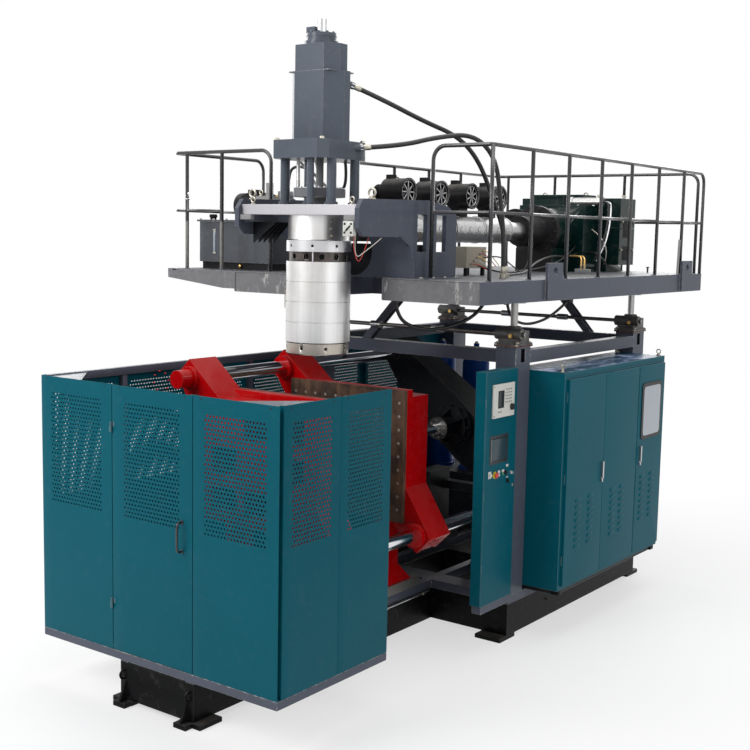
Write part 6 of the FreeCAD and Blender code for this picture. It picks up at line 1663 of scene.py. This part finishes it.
class MACHINE_OT_cabinet(Maker, bpy.types.Operator):
    """Finishes the electric cabinet with its louvres, window, handles and eye bolts"""
    bl_idname = "machine.cabinet"
    bl_label = "Cabinet"

    def build(self):
        finished("cabinet", "teal", "teal_edge", 0.003, [
            ("film", lambda c, n: n.z > 0.9 and c.z > 2.301),
            ("flange", lambda c, n: c.z < 0.431 and c.z > 0.384),
        ])
        for name in ("left", "middle", "right"):
            finished(f"cabinet_door_{name}", "teal", "teal_edge", 0.0015)
        finished("cabinet_window", "seal", None, 0.002)
        for side in ("left", "right"):
            finished(f"door_handle_{side}", "coupling", None, 0.003)
        self.louvres()
        self.window()
        parts = Shape()
        for y in (-1.0, 1.0):
            for x in (1.0, 1.43):
                eye_bolt(parts, (x, y, 2.302), 0.020, RIGHT if y < 0 else REAR)
        # light seam over the doors, hinges at the leaves' edges
        parts.box((1.4775, -1.025, 2.246), (1.4812, 1.025, 2.250), "teal_edge", 0.0006)
        for y in (-0.996, 0.4120, 1.006):
            for z in (0.65, 1.35, 2.05):
                parts.rod((1.4845, y, z), (1.4845, y, z + 0.08), 0.0048, "teal_edge", 10)
        # black feet under the cabinet's outer side
        parts.box((1.40, -1.00, 0.386), (1.47, -0.93, 0.431), "black", 0.003)
        parts.box((1.40, 0.93, 0.386), (1.47, 1.00, 0.431), "black", 0.003)
        parts.piece("cabinet_details", "cabinet")

    def louvres(self):
        wide = settings("machine_details").louvre
        columns = {"left": [(-0.763, 0.770), (-0.523, 0.770)], "middle": [(-0.076, 0.750), (0.118, 0.750)],
                   "right": [(0.566, 0.770), (0.782, 0.770)]}
        for name, places in columns.items():
            hoods = Shape()
            for y, low in places:
                hoods.take(row(louvre_hood(wide), 8, (0, 0, 0.0576), "teal"), at((1.5035, y, low)))
                # a thin black sheet behind each hood stands for the shade inside the louvre's opening: painted
                # shade
                slot_shade = Shape().box((-0.0010, -wide * 0.44, -0.0035), (0.0006, wide * 0.44, 0.0005),
                                   "void").mesh("slot_shade")
                hoods.take(row(slot_shade, 8, (0, 0, 0.0576), "void"), at((1.5035, y, low)))
            node = f"cabinet_door_{name}"
            hoods.piece(node + "_louvres", node)

    def window(self):
        pane = Shape()
        half, tall, radius = 0.189, 0.233, 0.038
        outline = [(across * (half - radius) + radius * cos(radians(turn)),
                    up * (tall - radius) + radius * sin(radians(turn)))
                   for across, up, start in ((1, 1, 0), (-1, 1, 90), (-1, -1, 180), (1, -1, 270))
                   for turn in range(start, start + 91, 15)]
        facing_right = Matrix((REAR, UP, RIGHT)).transposed().to_4x4()
        pane.prism(outline, 0.0045, at((1.5105, 0.702, 1.811)) @ facing_right, "window")
        pane.piece("cabinet_window_pane", "cabinet_window")


# ---------------------------------------------------------------- cables that the photograph shows on the deck
# name, diameter, length of the route and its points
CABLES = [
    # loops between the pump and the head's block
    ("pump_hose_1", 0.026, 1.679, [(-1.245, -1.48, 3.750), (-1.245, -1.48, 3.94), (-1.20, -1.50, 4.08),
        (-1.00, -1.58, 4.10), (-0.70, -1.72, 3.88), (-0.42, -1.95, 3.76), (-0.30, -2.12, 3.86),
        (-0.26, -2.21, 4.00)]),
    ("pump_hose_2", 0.026, 1.813, [(-1.185, -1.48, 3.750), (-1.185, -1.48, 3.92), (-1.15, -1.46, 4.02),
        (-0.95, -1.48, 4.00), (-0.62, -1.60, 3.80), (-0.30, -1.85, 3.74), (-0.05, -2.06, 3.84),
        (0.02, -2.19, 4.02)]),
    # bundle that runs from the deck's glands to the feed housing
    ("feed_cable_1", 0.020, 2.344, [(0.80, -0.90, 3.082), (0.79, -0.72, 3.09), (0.72, -0.40, 3.10),
        (0.60, -0.05, 3.17), (0.50, 0.35, 3.22), (0.42, 0.72, 3.24), (0.36, 1.10, 3.22),
        (0.33, 1.380, 3.26)]),
    ("feed_cable_2", 0.016, 2.301, [(0.47, -0.83, 3.16), (0.56, -0.76, 3.12), (0.60, -0.55, 3.09),
        (0.52, -0.20, 3.10), (0.50, 0.25, 3.12), (0.46, 0.66, 3.17), (0.38, 1.06, 3.24),
        (0.30, 1.380, 3.33)]),
    ("feed_cable_3", 0.012, 1.829, [(0.47, -0.75, 3.22), (0.60, -0.70, 3.26), (0.64, -0.52, 3.16),
        (0.58, -0.25, 3.09), (0.42, 0.05, 3.09), (0.30, 0.35, 3.12), (0.20, 0.62, 3.26),
        (0.115, 0.82, 3.375)]),
    # slack loop under the front of the deck
    ("deck_loop_1", 0.030, 1.086, [(0.40, -1.99, 2.90), (0.40, -1.95, 2.76), (0.44, -1.82, 2.66),
        (0.58, -1.62, 2.63), (0.72, -1.42, 2.70), (0.80, -1.30, 2.80), (0.82, -1.24, 2.90)]),
    # loose wires of the head's terminal block
    ("head_wire_red", 0.006, 0.409, [(0.572, -2.770, 3.398), (0.575, -2.785, 3.34), (0.60, -2.79, 3.25),
        (0.625, -2.78, 3.20), (0.635, -2.74, 3.26), (0.625, -2.66, 3.385)]),
    ("head_wire_white", 0.006, 0.482, [(0.576, -2.762, 3.398), (0.585, -2.78, 3.31), (0.61, -2.785, 3.235),
        (0.66, -2.76, 3.28), (0.68, -2.66, 3.34), (0.64, -2.52, 3.385)]),
    ("deck_loop_2", 0.024, 0.992, [(1.00, -1.22, 2.90), (0.96, -1.12, 2.78), (0.94, -0.92, 2.68),
        (0.98, -0.72, 2.66), (1.10, -0.56, 2.74), (1.20, -0.46, 2.890)]),
]


class MACHINE_OT_cables(Maker, bpy.types.Operator):
    """Lays the cables and hoses between the units on and under the platform"""
    bl_idname = "machine.cables"
    bl_label = "Cables"

    def build(self):
        for name, diameter, length, points in CABLES:
            finish = {"head_wire_red": "wire_red", "head_wire_white": "wire_white"}.get(name, "wire_black")
            free_cord(name, points, diameter, finish, BODY["platform_frame"])
        parts = Shape()
        # coloured cores at the junction box
        for k, (finish, dz) in enumerate((("wire_red", 0.0), ("wire_white", 0.03), ("brass", 0.06),
                                          ("wire_red", 0.09), ("brass", 0.115))):
            y = -0.93 + 0.05 * k
            parts.tube([(0.454, y, 3.17 + dz), (0.50, y + 0.01, 3.175 + dz), (0.545, y + 0.05, 3.15 + dz * 0.6),
                        (0.56, y + 0.12, 3.12 + dz * 0.3)], 0.004, finish, 6)
            parts.nut((0.4545, y, 3.17 + dz), RIGHT, 0.009, 0.014)
        # clips that hold the deck loops under the beams
        for x, y in ((0.40, -1.99), (0.82, -1.24), (1.00, -1.22), (1.20, -0.46)):
            parts.turned([(0.028, 0), (0.028, 0.03), (0.022, 0.036)], (x, y, 2.8865), DOWN, "rubber", 16)
        parts.piece("cable_glands", "platform_frame")


# ---------------------------------------------------------------- stage
class MACHINE_OT_stage(Maker, bpy.types.Operator):
    """Sets up the camera, the pale floor and the soft studio light"""
    bl_idname = "machine.stage"
    bl_label = "Stage"

    def build(self):
        view = settings("machine_stage")
        scene = bpy.context.scene
        scene.view_settings.view_transform = "Standard"
        turn, tilt, roll = view.turn, view.tilt, view.roll
        ahead = Vector((sin(turn) * cos(tilt), cos(turn) * cos(tilt), -sin(tilt)))
        right = Vector((cos(turn), -sin(turn), 0))
        up = right.cross(ahead)
        rolled = cos(roll) * right + sin(roll) * up
        upright = -sin(roll) * right + cos(roll) * up
        lens = bpy.data.cameras.new("camera")
        lens.lens, lens.sensor_width = view.lens, 36
        lens.clip_end = 200
        camera = linked("camera", lens)
        camera.matrix_world = at(view.place) @ Matrix(
            (rolled, upright, -ahead)).transposed().to_4x4()
        scene.camera = camera
        self.floor()
        self.world(scene)
        middle = Vector((-0.2, -0.8, 2.0))
        for name, spot, wide, power in (
                ("key", (-3.5, -11.0, 7.5), 5.0, view.key),
                ("side", (10.0, -3.5, 6.5), 6.0, view.key * 0.30),
                ("top", (0.5, -0.5, 10.5), 8.0, view.key * 0.75),
                ("back", (-2.0, 11.0, 6.0), 7.0, view.key * 0.7),
                ("left", (-10.5, 1.0, 6.0), 6.0, view.key * 0.6)):
            data = bpy.data.lights.new(name, "AREA")
            data.shape, data.size, data.energy = "SQUARE", wide, power
            lamp = linked(name, data)
            lamp.location = spot
            lamp.rotation_mode = "QUATERNION"
            lamp.rotation_quaternion = (middle - Vector(spot)).to_track_quat("-Z", "Y")

    def floor(self):
        work = bmesh.new()
        bmesh.ops.create_grid(work, x_segments=2, y_segments=2, size=60)
        mesh = drawn(work, "floor")
        made = Finish("studio_floor", (0.9, 0.9, 0.9), 0.9)
        lit = made.node("Emission", {"Color": WHITE, "Strength": 1.0})
        camera, glossy, transmission = made.rays("Camera", "Glossy", "Transmission")
        far = made.node("VectorMath", {0: made.where}, "Value", operation="LENGTH").above(8.0, 3.0)
        share = camera * (far * 0.4 + 0.6) + (glossy + transmission) * 0.85
        made.blend(share, made.shader, lit, "Material Output")
        mesh.materials.append(made.material)
        floor = linked("floor", mesh)
        floor.location.z = -0.002

    def world(self, scene):
        world = bpy.data.worlds.new("studio")
        scene.world = world
        world.use_nodes = True
        made = NodeTree(world.node_tree)
        soft = made.tree.nodes["Background"]
        soft.inputs["Color"].default_value = WHITE
        soft.inputs["Strength"].default_value = 0.34
        white = made.node("Background", {"Color": WHITE, "Strength": 1.0})
        camera, transmission, glossy = made.rays("Camera", "Transmission", "Glossy")
        made.blend(camera.most(transmission).most(glossy), soft, white, "World Output")


# ---------------------------------------------------------------- panel and registration
OPERATORS = (MACHINE_OT_stage, MACHINE_OT_hoses, MACHINE_OT_cables, MACHINE_OT_guard, MACHINE_OT_clamp,
             MACHINE_OT_base, MACHINE_OT_posts, MACHINE_OT_platform, MACHINE_OT_head, MACHINE_OT_head_drive,
             MACHINE_OT_extruder, MACHINE_OT_gear_case, MACHINE_OT_hydraulics, MACHINE_OT_control_column,
             MACHINE_OT_cabinet)
GROUPS = (("machine_colours", MachineColours), ("machine_guard", GuardSizes), ("machine_details", DetailSizes),
          ("machine_stage", StageSettings))


class MACHINE_PT_pieces(bpy.types.Panel):
    """The machine's pieces, each made by one button"""
    bl_idname = "MACHINE_PT_pieces"
    bl_label = "Blow moulding machine"
    bl_space_type = "VIEW_3D"
    bl_region_type = "UI"
    bl_category = "Machine"

    def draw(self, context):
        for kind in OPERATORS:
            self.layout.operator(kind.bl_idname)


def register():
    for name, group in GROUPS:
        bpy.utils.register_class(group)
        setattr(bpy.types.Scene, name, PointerProperty(type=group))
    for kind in OPERATORS + (MACHINE_PT_pieces,):
        bpy.utils.register_class(kind)


def unregister():
    for kind in reversed(OPERATORS + (MACHINE_PT_pieces,)):
        bpy.utils.unregister_class(kind)
    for name, group in reversed(GROUPS):
        delattr(bpy.types.Scene, name)
        bpy.utils.unregister_class(group)


def main():
    register()
    make_finishes()
    for kind in OPERATORS:
        group, name = kind.bl_idname.split(".")
        getattr(getattr(bpy.ops, group), name)()


if __name__ == "__main__":
    main()
